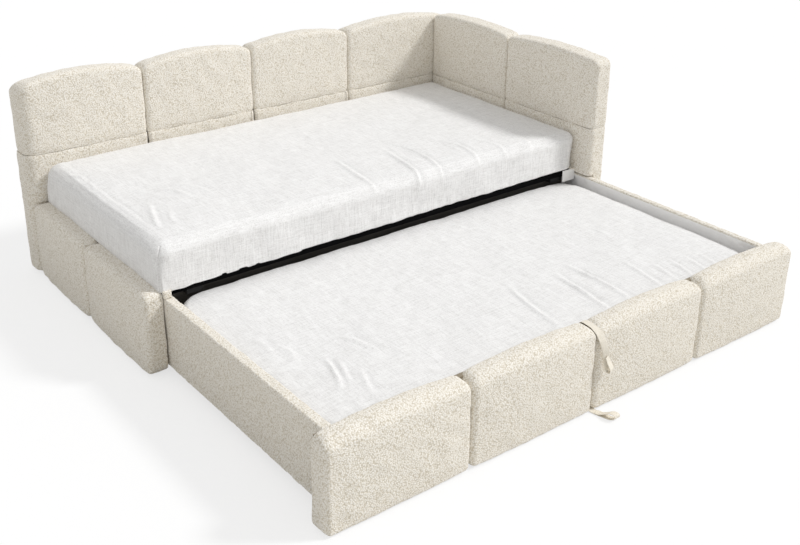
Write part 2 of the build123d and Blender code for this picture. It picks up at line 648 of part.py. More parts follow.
frame_screw_lines += [
    ((RAIL_INNER_X + bracket_far, SKIRT_FRONT_Y - BRACKET_THICKNESS, BRACKET_MID_Z), (0, 1, 0),
     BRACKET_THICKNESS + SKIRT_DEPTH + SCREW_BITE),
    ((WALL_LOWER_X - bracket_far, SKIRT_FRONT_Y - BRACKET_THICKNESS, BRACKET_MID_Z), (0, 1, 0),
     BRACKET_THICKNESS + SKIRT_DEPTH + SCREW_BITE),
    ((RAIL_INNER_X + BRACKET_THICKNESS, SKIRT_FRONT_Y - bracket_far, BRACKET_MID_Z), (-1, 0, 0),
     BRACKET_THICKNESS + SCREW_BITE),
    ((WALL_LOWER_X - BRACKET_THICKNESS, SKIRT_FRONT_Y - bracket_far, BRACKET_MID_Z), (1, 0, 0),
     BRACKET_THICKNESS + WALL_SKIRT_DEPTH + SCREW_BITE),
]
rail_mid_y = (FRONT_RAIL_Y0 + FRONT_RAIL_Y1) / 2
end_screw_lines = []
for y in (rail_mid_y - END_SCREW_SPACING / 2, rail_mid_y + END_SCREW_SPACING / 2):
    end_screw_lines.append(
        ((RAIL_INNER_X + HEAD_SEAT, y, END_SCREW_Z), (-1, 0, 0), HEAD_SEAT + SCREW_BITE)
    )
    end_screw_lines.append(
        ((RAIL_X1 - HEAD_SEAT, y, END_SCREW_Z), (1, 0, 0),
         HEAD_SEAT + BOARD_FIT + WALL_SKIRT_DEPTH + SCREW_BITE)
    )
stop_screw_lines = []
stop_screw_y = STOP_Y1 - STOP_DEPTH + (FRONT_RAIL_Y1 - STOP_Y1 + STOP_DEPTH) / 2
for x in stop_starts:
    stop_screw_lines.append(
        ((x + STOP_LENGTH / 2, stop_screw_y, FRONT_RAIL_BOTTOM - STOP_HEIGHT), (0, 0, 1),
         STOP_HEIGHT + FRONT_RAIL_HEIGHT / 2)
    )
rail_screw_lines = end_screw_lines + stop_screw_lines


def screws(lines):
    """Headed screws, one solid for each line."""
    return [
        screw(start, direction, length, SCREW_RADIUS, SCREW_HEAD_RADIUS, SCREW_HEAD_HEIGHT)
        for start, direction, length in lines
    ]


def boxes_meet(a, b):
    """Whether the bounding boxes of two solids overlap."""
    p = a.bounding_box()
    q = b.bounding_box()
    return (
        p.min.X < q.max.X and q.min.X < p.max.X
        and p.min.Y < q.max.Y and q.min.Y < p.max.Y
        and p.min.Z < q.max.Z and q.min.Z < p.max.Z
    )


def drill(shapes, lines, radius=SCREW_RADIUS + SCREW_FIT):
    """Cut each screw's clearance hole from those of several pieces that it reaches."""
    holes = [rod(radius, start, direction, length + SCREW_FIT) for start, direction, length in lines]
    done = []
    for shape in shapes:
        for hole in holes:
            if boxes_meet(shape, hole):
                shape = shape - hole
        done.append(shape)
    return done


daybed_lines = frame_screw_lines + rail_screw_lines
back_rails = drill(back_rails, daybed_lines)
wall_rails = drill(wall_rails, daybed_lines)
brackets = drill(brackets, daybed_lines)
stops = drill(stops, daybed_lines)
back_skirt, wall_skirt, low_rail_board, rear_ledger, front_rail = drill(
    [back_skirt, wall_skirt, low_rail_board, rear_ledger, front_rail], daybed_lines
)
for start, direction, length in end_screw_lines:
    back = tuple(-d for d in direction)
    front_rail -= rod(SCREW_HEAD_RADIUS + SCREW_FIT, start, back, SCREW_HEAD_HEIGHT + OVERRUN)

# Glide feet under the posts and the low board
back_foot_y = BACK_FRAME_Y1 - BACK_TIMBER / 2
wall_foot_x = WALL_FRAME_X1 - WALL_TIMBER / 2
low_foot_x = RAIL_INNER_X - LOW_BOARD_THICKNESS / 2
foot_places = [(x + POST_WIDTH / 2, back_foot_y) for x in back_post_x]
foot_places += [(wall_foot_x, y + POST_WIDTH / 2) for y in wall_post_y]
foot_places += [
    (low_foot_x, SKIRT_FRONT_Y - POST_WIDTH),
    (low_foot_x, SKIRT_FRONT_Y - LOW_RAIL_FIRST_PAD),
    (low_foot_x, RAIL_END_Y + POST_WIDTH),
]
feet = [rod(FOOT_RADIUS, (x, y, 0), (0, 0, 1), FRAME_GROUND_GAP) for x, y in foot_places]

add("back_posts", *back_posts)
add("back_rails", *back_rails)
add("back_skirt", back_skirt)
add("back_cover", back_cover)
add("wall_posts", *wall_posts)
add("wall_rails", *wall_rails)
add("wall_skirt", wall_skirt)
add("wall_cover", wall_cover)
add("low_rail_board", low_rail_board)
add("front_rail", front_rail)
add("front_slat_ledge", slat_ledge)
add("rear_slat_ledger", rear_ledger)
add("deck_slats", *deck_slats)
add("trundle_stops", *stops)
add("corner_brackets", *brackets)
add("frame_screws", *screws(frame_screw_lines))
add("front_rail_screws", *screws(rail_screw_lines))
add("glide_feet", *feet)
add(
    "upper_mattress",
    mattress(
        UPPER_MATTRESS_X, UPPER_MATTRESS_FRONT_Y, DECK_HEIGHT, UPPER_MATTRESS_THICKNESS,
        UPPER_MATTRESS_CORNER,
    ),
)

# Trundle front: a board wrapped by four pads
BOARD_X0 = FRONT_LEFT_X + FRONT_END_FOAM
BOARD_X1 = FRONT_RIGHT_X - FRONT_END_FOAM
front_pocket = block(
    BOARD_X0 - BOARD_FIT, BOARD_X1 + BOARD_FIT, BOARD_FRONT_Y - BOARD_FIT, BOARD_BACK_Y + OVERRUN,
    FRONT_BOARD_BOTTOM - BOARD_FIT, FRONT_BOARD_TOP + BOARD_FIT,
)
for name, shape in pads(
    "front_pad", FRONT_PLANE, FRONT_STARTS, FRONT_PAD_GROUND_GAP, FRONT_PAD_TOP,
    FRONT_BOARD_THICKNESS + FRONT_PAD_DEPTH, FRONT_PAD_EDGE, FRONT_PAD_CROWN,
    (FRONT_PAD_CORNER, FRONT_PAD_CORNER), FRONT_PAD_RISE, FRONT_PAD_SAG, FRONT_PAD_REAR_EDGE,
):
    add(name, shape - front_pocket)
front_board = block(
    BOARD_X0, BOARD_X1, BOARD_FRONT_Y, BOARD_BACK_Y, FRONT_BOARD_BOTTOM, FRONT_BOARD_TOP
)

# Trundle sides: boards with an upholstered cover folded over the top
REAR_PANEL_BACK_Y = REAR_PANEL_Y + REAR_PANEL_THICKNESS


def side(outer_x, inward):
    """One side board and its cover; inward is the direction towards the mattress."""
    board_out = outer_x + inward * SIDE_COVER_OUTER
    board_x = sorted((board_out, board_out + inward * SIDE_BOARD_THICKNESS))
    cover_x = sorted((outer_x, outer_x + inward * SIDE_THICKNESS))
    board = block(
        board_x[0], board_x[1], BOARD_BACK_Y, REAR_PANEL_BACK_Y, SIDE_BOTTOM, SIDE_TOP - SIDE_COVER_TOP
    )
    cover = block(cover_x[0], cover_x[1], BOARD_BACK_Y, REAR_PANEL_BACK_Y, SIDE_BOTTOM, SIDE_TOP)
    cover = fillet(cover.edges().filter_by(Axis.Y).group_by(Axis.Z)[-1], SIDE_COVER_TOP)
    return board, cover - block(
        board_x[0], board_x[1], BOARD_BACK_Y - OVERRUN, REAR_PANEL_BACK_Y + OVERRUN,
        SIDE_BOTTOM - OVERRUN, SIDE_TOP - SIDE_COVER_TOP,
    )


left_board, left_cover = side(TRUNDLE_LEFT_X, 1)
right_board, right_cover = side(TRUNDLE_RIGHT_X, -1)
rear_panel = block(
    TRUNDLE_INNER_LEFT_X, TRUNDLE_INNER_RIGHT_X, REAR_PANEL_Y, REAR_PANEL_BACK_Y,
    REAR_PANEL_BOTTOM, REAR_PANEL_TOP,
)

# Trundle deck: three cross beams on corner blocks, with slats across them
beam_starts = (
    BOARD_BACK_Y,
    (BOARD_BACK_Y + REAR_PANEL_Y - CROSS_BEAM_DEPTH) / 2,
    REAR_PANEL_Y - CROSS_BEAM_DEPTH,
)
beams = [
    block(
        TRUNDLE_INNER_LEFT_X, TRUNDLE_INNER_RIGHT_X, y, y + CROSS_BEAM_DEPTH,
        CROSS_BEAM_BOTTOM, TRUNDLE_SLAT_BOTTOM,
    )
    for y in beam_starts
]
trundle_slats = slats(
    TRUNDLE_SLAT_COUNT, TRUNDLE_INNER_LEFT_X + DECK_SIDE_MARGIN, TRUNDLE_INNER_RIGHT_X - DECK_SIDE_MARGIN,
    BOARD_BACK_Y + SLAT_END_GAP, REAR_PANEL_Y - SLAT_END_GAP, TRUNDLE_SLAT_BOTTOM,
)
block_starts = (
    beam_starts[0],
    beam_starts[1] + (CROSS_BEAM_DEPTH - CORNER_BLOCK) / 2,
    REAR_PANEL_Y - CORNER_BLOCK,
)
corner_blocks = []
block_lines = []
block_low_z = CROSS_BEAM_BOTTOM - BLOCK_SCREW_LOW
block_high_z = CROSS_BEAM_BOTTOM - BLOCK_SCREW_HIGH
for x, inward in ((TRUNDLE_INNER_LEFT_X, 1), (TRUNDLE_INNER_RIGHT_X, -1)):
    ends = sorted((x, x + inward * CORNER_BLOCK))
    for y in block_starts:
        corner_blocks.append(
            block(ends[0], ends[1], y, y + CORNER_BLOCK, SIDE_BOTTOM + BOARD_FIT, CROSS_BEAM_BOTTOM)
        )
        block_lines.append(
            ((x + inward * CORNER_BLOCK, y + BLOCK_SCREW_MARGIN, block_low_z), (-inward, 0, 0),
             CORNER_BLOCK + SIDE_COVER_INNER + SIDE_SCREW_BITE)
        )
    block_lines.append(
        ((x + inward * (CORNER_BLOCK - BLOCK_SCREW_MARGIN), beam_starts[0] + CORNER_BLOCK, block_high_z),
         (0, -1, 0), CORNER_BLOCK + SCREW_BITE)
    )
    block_lines.append(
        ((x + inward * (CORNER_BLOCK - BLOCK_SCREW_MARGIN), REAR_PANEL_Y - CORNER_BLOCK, block_high_z),
         (0, 1, 0), CORNER_BLOCK + SIDE_SCREW_BITE)
    )

# Casters: a folded fork on a square plate, an axle and a wheel
caster_x = (TRUNDLE_INNER_LEFT_X + CASTER_INSET, TRUNDLE_INNER_RIGHT_X - CASTER_INSET)
caster_y = (beam_starts[0] + CROSS_BEAM_DEPTH / 2, beam_starts[2] + CROSS_BEAM_DEPTH / 2)
caster_places = [(x, y) for y in caster_y for x in caster_x]
CHEEK_OUT = WHEEL_WIDTH / 2 + FORK_SIDE_GAP + FORK_CHEEK
PLATE_BOTTOM = CROSS_BEAM_BOTTOM - FORK_PLATE
AXLE_HOLE = AXLE_RADIUS + AXLE_RUNNING_FIT


def fork(x, y):
    """The plate and two cheeks that hold a wheel's axle."""
    half = FORK_PLATE_SIZE / 2
    shape = block(x - half, x + half, y - half, y + half, PLATE_BOTTOM, CROSS_BEAM_BOTTOM)
    for sign in (-1, 1):
        start = x + min(sign * CHEEK_OUT, sign * (CHEEK_OUT - FORK_CHEEK))
        shape += block(
            start, start + FORK_CHEEK, y - FORK_WIDTH / 2, y + FORK_WIDTH / 2, WHEEL_RADIUS, PLATE_BOTTOM
        )
        shape += rod(FORK_WIDTH / 2, (start, y, WHEEL_RADIUS), (1, 0, 0), FORK_CHEEK)
    shape -= rod(AXLE_HOLE, (x - CHEEK_OUT - OVERRUN, y, WHEEL_RADIUS), (1, 0, 0), 2 * (CHEEK_OUT + OVERRUN))
    return shape


def axle(x, y):
    """A riveted axle pin with a head outside each cheek."""
    shape = rod(AXLE_RADIUS, (x - CHEEK_OUT, y, WHEEL_RADIUS), (1, 0, 0), 2 * CHEEK_OUT)
    shape += rod(AXLE_HEAD_RADIUS, (x - CHEEK_OUT - AXLE_HEAD, y, WHEEL_RADIUS), (1, 0, 0), AXLE_HEAD)
    shape += rod(AXLE_HEAD_RADIUS, (x + CHEEK_OUT, y, WHEEL_RADIUS), (1, 0, 0), AXLE_HEAD)
    return shape


def wheel(x, y):
    """A moulded wheel with round tread edges and a shallow dish in each face."""
    start = x - WHEEL_WIDTH / 2
    shape = rod(WHEEL_RADIUS, (start, y, WHEEL_RADIUS), (1, 0, 0), WHEEL_WIDTH)
    shape = fillet(shape.edges().filter_by(GeomType.CIRCLE), WHEEL_EDGE)
    for near in (start - OVERRUN, start + WHEEL_WIDTH - WHEEL_DISH):
        ring = rod(WHEEL_DISH_RADIUS, (near, y, WHEEL_RADIUS), (1, 0, 0), WHEEL_DISH + OVERRUN)
        shape -= ring - rod(AXLE_HEAD_RADIUS, (near, y, WHEEL_RADIUS), (1, 0, 0), WHEEL_DISH + OVERRUN)
    return shape - rod(AXLE_HOLE, (start - OVERRUN, y, WHEEL_RADIUS), (1, 0, 0), WHEEL_WIDTH + 2 * OVERRUN)


caster_lines = [
    ((x + sx * CASTER_SCREW_SPACING / 2, y + sy * CASTER_SCREW_SPACING / 2, PLATE_BOTTOM), (0, 0, 1),
     CASTER_SCREW_LENGTH)
    for x, y in caster_places
    for sx in (-1, 1)
    for sy in (-1, 1)
]
forks = drill([fork(*place) for place in caster_places], caster_lines, CASTER_SCREW_RADIUS + SCREW_FIT)
beams = drill(beams, caster_lines, CASTER_SCREW_RADIUS + SCREW_FIT)

corner_blocks = drill(corner_blocks, block_lines)
left_board, right_board, left_cover, right_cover, front_board, rear_panel = drill(
    [left_board, right_board, left_cover, right_cover, front_board, rear_panel], block_lines
)

# Bumpers on the back of the front board, which meet the wall's front end when closed
bumper_x = (WALL_LOWER_X + BOARD_X1) / 2
bumpers = [
    rod(BUMPER_RADIUS, (bumper_x, BOARD_BACK_Y, z), (0, 1, 0), BUMPER_THICKNESS)
    for z in (BUMPER_HEIGHT, BUMPER_HEIGHT + BUMPER_RISE)
]

# Pull straps: flat webbing in the middle groove of the front
GROOVE_X = FRONT_LEFT_X + FRONT_STARTS[FRONT_PAD_COUNT // 2]
LAYER = STRAP_THICKNESS + STRAP_SEAT_GAP
strap_back_y = BOARD_BACK_Y + STRAP_SEAT_GAP + STRAP_THICKNESS / 2
strap_front_y = TRUNDLE_FRONT_Y + FRONT_PAD_CROWN + STRAP_FACE_SINK
strap_top_z = FRONT_PAD_TOP - FRONT_PAD_RISE - STRAP_SHOULDER_SINK
strap_end_z = strap_top_z - UPPER_STRAP_DROP
upper_plate_z = FRONT_BOARD_TOP - UPPER_PLATE_DROP
lower_plate_z = FRONT_BOARD_BOTTOM + LOWER_PLATE_RISE
under_z = FRONT_PAD_GROUND_GAP + FRONT_PAD_SAG - STRAP_GROOVE_RISE / 2
floor_z = LOWER_STRAP_FLOOR_GAP + STRAP_THICKNESS / 2
tip_y = TRUNDLE_FRONT_Y - LOWER_STRAP_REACH + STRAP_THICKNESS / 2


def ribbon(route):
    """Flat webbing across X along a route of (y, z, corner radius) points."""
    radii = [radius for _, _, radius in route[1:-1]]
    path = FilletPolyline(*[(GROOVE_X, y, z) for y, z, _ in route], radius=radii)
    section = Plane(origin=path @ 0, x_dir=(1, 0, 0), z_dir=path % 0)
    return sweep(section * Rectangle(STRAP_WIDTH, STRAP_THICKNESS), path=path)


upper_strap = ribbon([
    (strap_back_y, upper_plate_z, 0),
    (strap_back_y, strap_top_z, STRAP_BEND_RADIUS),
    (strap_front_y, strap_top_z, STRAP_BEND_RADIUS),
    (strap_front_y, strap_end_z, LOOP_RADIUS),
    (strap_front_y - UPPER_LOOP_DEPTH, strap_end_z, LOOP_RADIUS),
    (strap_front_y - UPPER_LOOP_DEPTH, strap_end_z + UPPER_LOOP_CHEEK, STRAP_BEND_RADIUS),
    (strap_front_y - LAYER, strap_end_z + UPPER_LOOP_NECK, LOOP_RADIUS),
    (strap_front_y - LAYER, strap_end_z + UPPER_LOOP_NECK + UPPER_LOOP_SEWN, 0),
])
lower_strap = ribbon([
    (strap_back_y, lower_plate_z + STRAP_PLATE_HEIGHT, 0),
    (strap_back_y, under_z, STRAP_BEND_RADIUS),
    (BOARD_FRONT_Y, under_z, LOOP_RADIUS),
    (TRUNDLE_FRONT_Y - LOWER_STRAP_LANDING, floor_z, LOOP_RADIUS),
    (tip_y, floor_z, LOOP_RADIUS),
    (tip_y, floor_z + LOWER_LOOP_HEIGHT, LOOP_RADIUS),
    (tip_y + LOWER_LOOP_BACK, floor_z + LOWER_LOOP_HEIGHT, LOOP_RADIUS),
    (tip_y + LOWER_LOOP_NECK, floor_z + LAYER, LOOP_RADIUS),
    (tip_y + LOWER_LOOP_NECK + LOWER_LOOP_SEWN, floor_z + LAYER, 0),
])
plate_y = strap_back_y + STRAP_THICKNESS / 2 + STRAP_SEAT_GAP
strap_plates = [
    block(
        GROOVE_X - STRAP_PLATE_WIDTH / 2, GROOVE_X + STRAP_PLATE_WIDTH / 2,
        plate_y, plate_y + STRAP_PLATE_THICKNESS, z, z + STRAP_PLATE_HEIGHT,
    )
    for z in (upper_plate_z, lower_plate_z)
]
strap_lines = [
    ((GROOVE_X + side_x, plate_y + STRAP_PLATE_THICKNESS, z + STRAP_PLATE_HEIGHT / 2), (0, -1, 0),
     CASTER_SCREW_LENGTH)
    for z in (upper_plate_z, lower_plate_z)
    for side_x in (-STRAP_SCREW_SPACING / 2, STRAP_SCREW_SPACING / 2)
]
strap_plates = drill(strap_plates, strap_lines, CASTER_SCREW_RADIUS + SCREW_FIT)
(front_board,) = drill([front_board], strap_lines, CASTER_SCREW_RADIUS + SCREW_FIT)


add("front_board", front_board)
add("left_side_board", left_board)
add("left_side_cover", left_cover)
add("right_side_board", right_board)
add("right_side_cover", right_cover)
add("rear_panel", rear_panel)
add("cross_beams", *beams)
add("trundle_slats", *trundle_slats)
add("corner_blocks", *corner_blocks)
add("trundle_screws", *screws(block_lines))
add("bumpers", *bumpers)
add("upper_pull_strap", upper_strap)
add("lower_pull_strap", lower_strap)
add("strap_plates", *strap_plates)
add("caster_forks", *forks)
add("caster_axles", *[axle(*place) for place in caster_places])
add(
    "small_screws",
    *[
        screw(
            start, direction, length,
            CASTER_SCREW_RADIUS, CASTER_SCREW_HEAD_RADIUS, CASTER_SCREW_HEAD_HEIGHT,
        )
        for start, direction, length in caster_lines + strap_lines
    ],
)
for i, place in enumerate(caster_places):
    add(f"caster_wheel_{i + 1}", wheel(*place))
add(
    "trundle_mattress",
    mattress(
        (TRUNDLE_INNER_LEFT_X + TRUNDLE_INNER_RIGHT_X - MATTRESS_LENGTH) / 2,
        BOARD_BACK_Y + TRUNDLE_FRONT_GAP, TRUNDLE_DECK_HEIGHT, TRUNDLE_MATTRESS_THICKNESS,
        TRUNDLE_MATTRESS_CORNER,
    ),
)

os.makedirs("parts", exist_ok=True)
for name, shape in parts.items():
    export_step(shape, f"parts/{name}.step")
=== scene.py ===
import math

import bpy
import numpy as np
from mathutils import Matrix, Vector


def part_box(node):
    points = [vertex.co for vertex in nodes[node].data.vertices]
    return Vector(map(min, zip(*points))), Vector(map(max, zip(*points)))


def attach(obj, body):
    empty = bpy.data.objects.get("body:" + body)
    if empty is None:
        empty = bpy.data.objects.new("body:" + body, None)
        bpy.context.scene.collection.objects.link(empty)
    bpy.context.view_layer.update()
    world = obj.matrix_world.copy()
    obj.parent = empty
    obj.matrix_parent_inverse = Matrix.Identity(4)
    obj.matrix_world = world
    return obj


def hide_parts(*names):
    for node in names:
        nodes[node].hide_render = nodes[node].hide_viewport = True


# A corner daybed whose trundle pulls out from under it. Metres: X runs along the back, Y from the
# trundle's front to the back, Z up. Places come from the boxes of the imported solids.
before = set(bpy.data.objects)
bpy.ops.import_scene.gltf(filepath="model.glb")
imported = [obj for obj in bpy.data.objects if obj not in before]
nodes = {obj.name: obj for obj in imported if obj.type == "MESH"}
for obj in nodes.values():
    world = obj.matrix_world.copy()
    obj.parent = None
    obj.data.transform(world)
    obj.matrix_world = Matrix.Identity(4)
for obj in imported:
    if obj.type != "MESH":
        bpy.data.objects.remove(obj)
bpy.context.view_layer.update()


# Timber frame
# Planed pine and ply, unvarnished: posts and rails inside the back and the side wall, slats and
# the trundle's boards, with the grain along each piece. The two stops under the front rail are
# black, partly painted shade, so that they merge into the dark under the rail. The boards behind
# the low rail's and the trundle's pads are a taupe darker than the cream cover: painted shade
# where they show between the pads.
def paint(red, green, blue):
    """A colour as it is seen, from 0 to 255, turned into the linear values a shader takes."""
    tone = np.array([red, green, blue]) / 255
    linear = np.where(tone <= 0.04045, tone / 12.92, ((tone + 0.055) / 1.055) ** 2.4)
    return (*linear, 1.0)


class Finish:
    """A material while its nodes are put together. Patterns read the piece's own coordinates."""

    def __init__(self, name, roughness, metallic=0.0, specular=0.5, sheen=0.0):
        self.material = bpy.data.materials.new(name)
        self.material.use_nodes = True
        self.tree = self.material.node_tree
        self.shader = self.tree.nodes["Principled BSDF"]
        self.where = self.tree.nodes.new("ShaderNodeTexCoord").outputs["Object"]
        self.shader.inputs["Roughness"].default_value = roughness
        self.shader.inputs["Metallic"].default_value = metallic
        self.shader.inputs["Specular IOR Level"].default_value = specular
        self.shader.inputs["Sheen Weight"].default_value = sheen

    def node(self, kind, *inputs, **settings):
        """A node whose inputs, in order, are each a value or another node's output."""
        made = self.tree.nodes.new(kind)
        for name, value in settings.items():
            setattr(made, name, value)
        for socket, value in zip(made.inputs, inputs):
            if isinstance(value, bpy.types.NodeSocket):
                self.tree.links.new(value, socket)
            elif value is not None:
                socket.default_value = value
        return made

    def stretched(self, stretch):
        """The piece's coordinates, scaled apart on each axis."""
        mapping = self.tree.nodes.new("ShaderNodeMapping")
        self.tree.links.new(self.where, mapping.inputs["Vector"])
        mapping.inputs["Scale"].default_value = stretch
        return mapping.outputs["Vector"]

    def noise(self, scale, stretch=(1, 1, 1), detail=2.0, rough=0.5):
        """Cloudy noise from 0 to 1, with so many clouds in a metre."""
        made = self.tree.nodes.new("ShaderNodeTexNoise")
        self.tree.links.new(self.stretched(stretch), made.inputs["Vector"])
        made.inputs["Scale"].default_value = scale
        made.inputs["Detail"].default_value = detail
        made.inputs["Roughness"].default_value = rough
        return made.outputs["Fac"]

    def cells(self, scale):
        """The distance to the middle of the nearest of so many cells in a metre."""
        made = self.tree.nodes.new("ShaderNodeTexVoronoi")
        self.tree.links.new(self.where, made.inputs["Vector"])
        made.inputs["Scale"].default_value = scale
        return made.outputs["Distance"]

    def sum(self, *terms):
        """A weighted sum, from pairs of an output and its weight."""
        total = None
        for value, weight in terms:
            part = self.node("ShaderNodeMath", value, weight, operation="MULTIPLY").outputs[0]
            if total is None:
                total = part
            else:
                total = self.node("ShaderNodeMath", total, part, operation="ADD").outputs[0]
        return total

    def colour(self, value, *stops):
        """The main shader's colour: a ramp over a value, from pairs of a place and a colour."""
        ramp = self.tree.nodes.new("ShaderNodeValToRGB")
        self.tree.links.new(value, ramp.inputs["Fac"])
        elements = ramp.color_ramp.elements
        while len(elements) < len(stops):
            elements.new(0.5)
        for element, (place, tone) in zip(elements, stops):
            element.position = place
            element.color = tone
        self.tree.links.new(ramp.outputs["Color"], self.shader.inputs["Base Color"])

    def relief(self, height, depth):
        """A bumpy surface: a height from 0 to 1, and what 1 is in metres."""
        bump = self.tree.nodes.new("ShaderNodeBump")
        bump.inputs["Distance"].default_value = depth
        self.tree.links.new(height, bump.inputs["Height"])
        self.tree.links.new(bump.outputs["Normal"], self.shader.inputs["Normal"])


def finish_nodes(material, *names):
    """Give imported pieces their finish."""
    for name in names:
        mesh = nodes[name].data
        mesh.materials.clear()
        mesh.materials.append(material)


PINE = (paint(168, 128, 84), paint(201, 165, 118), paint(221, 192, 150))
# Taupe, darker than the cream cover: painted shade where these boards show between the pads.
TAUPE_GROOVE_SHADE = (paint(128, 118, 101), paint(146, 135, 117), paint(160, 150, 131))
# Black, partly painted shade: the stops merge into the dark under the front rail.
BLACK_UNDER_RAIL = (paint(18, 18, 18), paint(25, 25, 25), paint(33, 32, 32))


def timber(name, grain, tones=PINE):
    """Pine or ply: long streaks and fine pores along the grain's axis, in three tones."""
    finish = Finish(name, roughness=0.62, specular=0.3)
    streak = [70.0] * 3
    pore = [900.0] * 3
    streak["XYZ".index(grain)] = 2.5
    pore["XYZ".index(grain)] = 30.0
    streaks = finish.noise(1.0, streak, detail=5.0, rough=0.62)
    pores = finish.noise(1.0, pore, detail=1.0)
    tone = finish.sum((streaks, 0.8), (pores, 0.2))
    finish.colour(tone, *zip((0.34, 0.5, 0.66), tones))
    finish.relief(tone, 0.0006)
    return finish.material


finish_nodes(timber("pine_along_x", "X"), "back_rails", "rear_slat_ledger", "cross_beams")
finish_nodes(
    timber("pine_along_y", "Y"),
    "wall_rails", "deck_slats", "trundle_slats", "left_side_board", "right_side_board",
)
finish_nodes(timber("black_pine_under_rail", "X", BLACK_UNDER_RAIL), "trundle_stops")
finish_nodes(timber("taupe_ply_shade_along_x", "X", TAUPE_GROOVE_SHADE), "front_board")
finish_nodes(timber("taupe_ply_shade_along_y", "Y", TAUPE_GROOVE_SHADE), "low_rail_board")
finish_nodes(timber("pine_upright", "Z"), "back_posts", "wall_posts", "corner_blocks")


# Front rail and rear panel
# A steel tube with a welded ledge, powder coated matt black, carries the deck over the trundle.
# Its colour is darker than black paint, with painted shade from the mattress above. Below it shows
# the trundle's rear panel, a board with a matt black laminate, coloured lighter: painted light
# against the shade under the rail.
def black_steel():
    """Powder coat: near black, darker still with painted shade from the mattress above, and a fine
    orange-peel surface.
    """
    finish = Finish("black_steel", roughness=0.6, specular=0.03)
    peel = finish.noise(900.0, detail=2.0)
    # Darker than black paint is: the colour holds painted shade from the mattress above.
    finish.colour(finish.noise(40.0), (0.3, paint(3, 3, 4)), (0.7, paint(7, 7, 8)))
    finish.relief(peel, 0.00008)
    return finish.material


def black_board():
    """Laminate: lighter than the steel and than black laminate is, as painted light against the shade
    under the rail, with a faint streak along the board.
    """
    finish = Finish("black_board", roughness=0.62, specular=0.25)
    streaks = finish.noise(1.0, (6.0, 120.0, 120.0), detail=3.0)
    # Lifted well above black: painted light for the panel in the shade under the rail.
    finish.colour(streaks, (0.3, paint(70, 68, 64)), (0.7, paint(90, 87, 82)))
    finish.relief(streaks, 0.0001)
    return finish.material


finish_nodes(black_steel(), "front_rail", "front_slat_ledge")
finish_nodes(black_board(), "rear_panel")


# Fixings, casters, glides and bumpers
# Bright zinc on brackets, screws, caster forks and the straps' anchor plates, black nylon on the
# wheels and glides, and soft rubber on the two bumpers behind the trundle's front.
def zinc():
    """Zinc plate: grey metal with soft blotches and fine scratches."""
    finish = Finish("zinc", roughness=0.36, metallic=1.0)
    blotches = finish.noise(120.0, detail=3.0)
    scratches = finish.noise(1.0, (900.0, 60.0, 900.0))
    finish.colour(blotches, (0.3, paint(178, 178, 174)), (0.7, paint(214, 214, 210)))
    finish.relief(scratches, 0.00004)
    return finish.material


def moulded(name, dark, light, roughness):
    """A moulded part: two close tones and a fine matt grain."""
    finish = Finish(name, roughness=roughness, specular=0.35)
    finish.colour(finish.noise(150.0), (0.3, dark), (0.7, light))
    finish.relief(finish.noise(1400.0, detail=1.0), 0.00006)
    return finish.material


finish_nodes(
    zinc(),
    "corner_brackets", "frame_screws", "front_rail_screws", "trundle_screws", "strap_plates",
    "caster_forks", "caster_axles", "small_screws",
)
nylon = moulded("black_nylon", paint(24, 24, 25), paint(36, 36, 38), 0.5)
finish_nodes(nylon, "glide_feet", *[f"caster_wheel_{i}" for i in range(1, 5)])
finish_nodes(moulded("rubber", paint(38, 38, 38), paint(52, 51, 50), 0.8), "bumpers")


# Back
# Four upholstered segments, each a foam pad with a domed top over the timber frame. A stitched
# seam at seat height parts each into an upper and a lower pad, and a skirt goes on to the floor.
PAD_STEP = 0.0055
# Closer rows of the mesh at a cut edge, as shares of the height that is drawn in there.
CUT_ROWS = (0.04, 0.14, 0.3, 0.5, 0.75, 1.0)
BULGE_POWER = 2.4
DRAW_POWER = 2.5
# A hollow pushes points in up to this far behind the front edges' rounding, and always over
# the least fill in front of the frame.
FACE_SKIN = 0.004
LEAST_FILL = 0.006
# How long the foam's wide swells and small puckers are.
SWELL, PUCKER = 0.07, 0.02
# Lines of the mesh stand this far to each side of a hollow's edges.
SPLIT = 0.0002
TINY = 1e-9
FACES_FRONT = np.array([[1, 0, 0], [0, 0, 1], [0, -1, 0]])
FACES_LEFT = np.array([[0, -1, 0], [0, 0, 1], [-1, 0, 0]])
FACES_REAR = np.array([[-1, 0, 0], [0, 0, 1], [0, 1, 0]])
FACES_RIGHT = np.array([[0, 1, 0], [0, 0, 1], [1, 0, 0]])
SEWN_EDGE = (0.017, 0.017)
TOP_EDGE = (0.018, 0.018)
TIGHT_EDGE = (0.012, 0.012)
AS_PACKED = ((0.0, 0.0, 0.0), (0.0, 0.0, 0.0))
SEAM_UPPER = (0.032, 0.004)
SEAM_LOWER = (0.022, 0.0022)
FLUSH = (SPLIT, 0.0)
HEM = (0.008, 0.004)


def boucle():
    """Looped cream boucle: nubs about 5 mm apart, with a soft sheen. Painted shade darkens and warms
    the gaps between loops, and a painted highlight lightens the loop tops.
    """
    finish = Finish("boucle", roughness=0.95, specular=0.12, sheen=0.15)
    finish.shader.inputs["Sheen Roughness"].default_value = 0.6
    loops = finish.cells(205.0)
    fibres = finish.noise(560.0, detail=3.0, rough=0.6)
    nub = finish.sum((loops, -1.0), (fibres, 0.55))
    height = finish.node("ShaderNodeMath", nub, 0.7, operation="ADD").outputs[0]
    # Colour by nub height: painted shade, darker and warmer, in the low gaps; painted highlight on the
    # loop tops.
    finish.colour(
        height,
        (0.15, paint(208, 199, 182)), (0.4, paint(229, 222, 208)),
        (0.6, paint(242, 237, 227)), (0.8, paint(251, 248, 242)),
    )
    finish.relief(height, 0.0016)
    return finish.material


def places(low, high, step, extra=()):
    """Even places from low to high, and what extra ones lie between them."""
    even = np.linspace(low, high, round((high - low) / step) + 1)
    kept = [place for place in extra if low < place < high]
    return np.unique(np.concatenate([even, kept]).round(6))


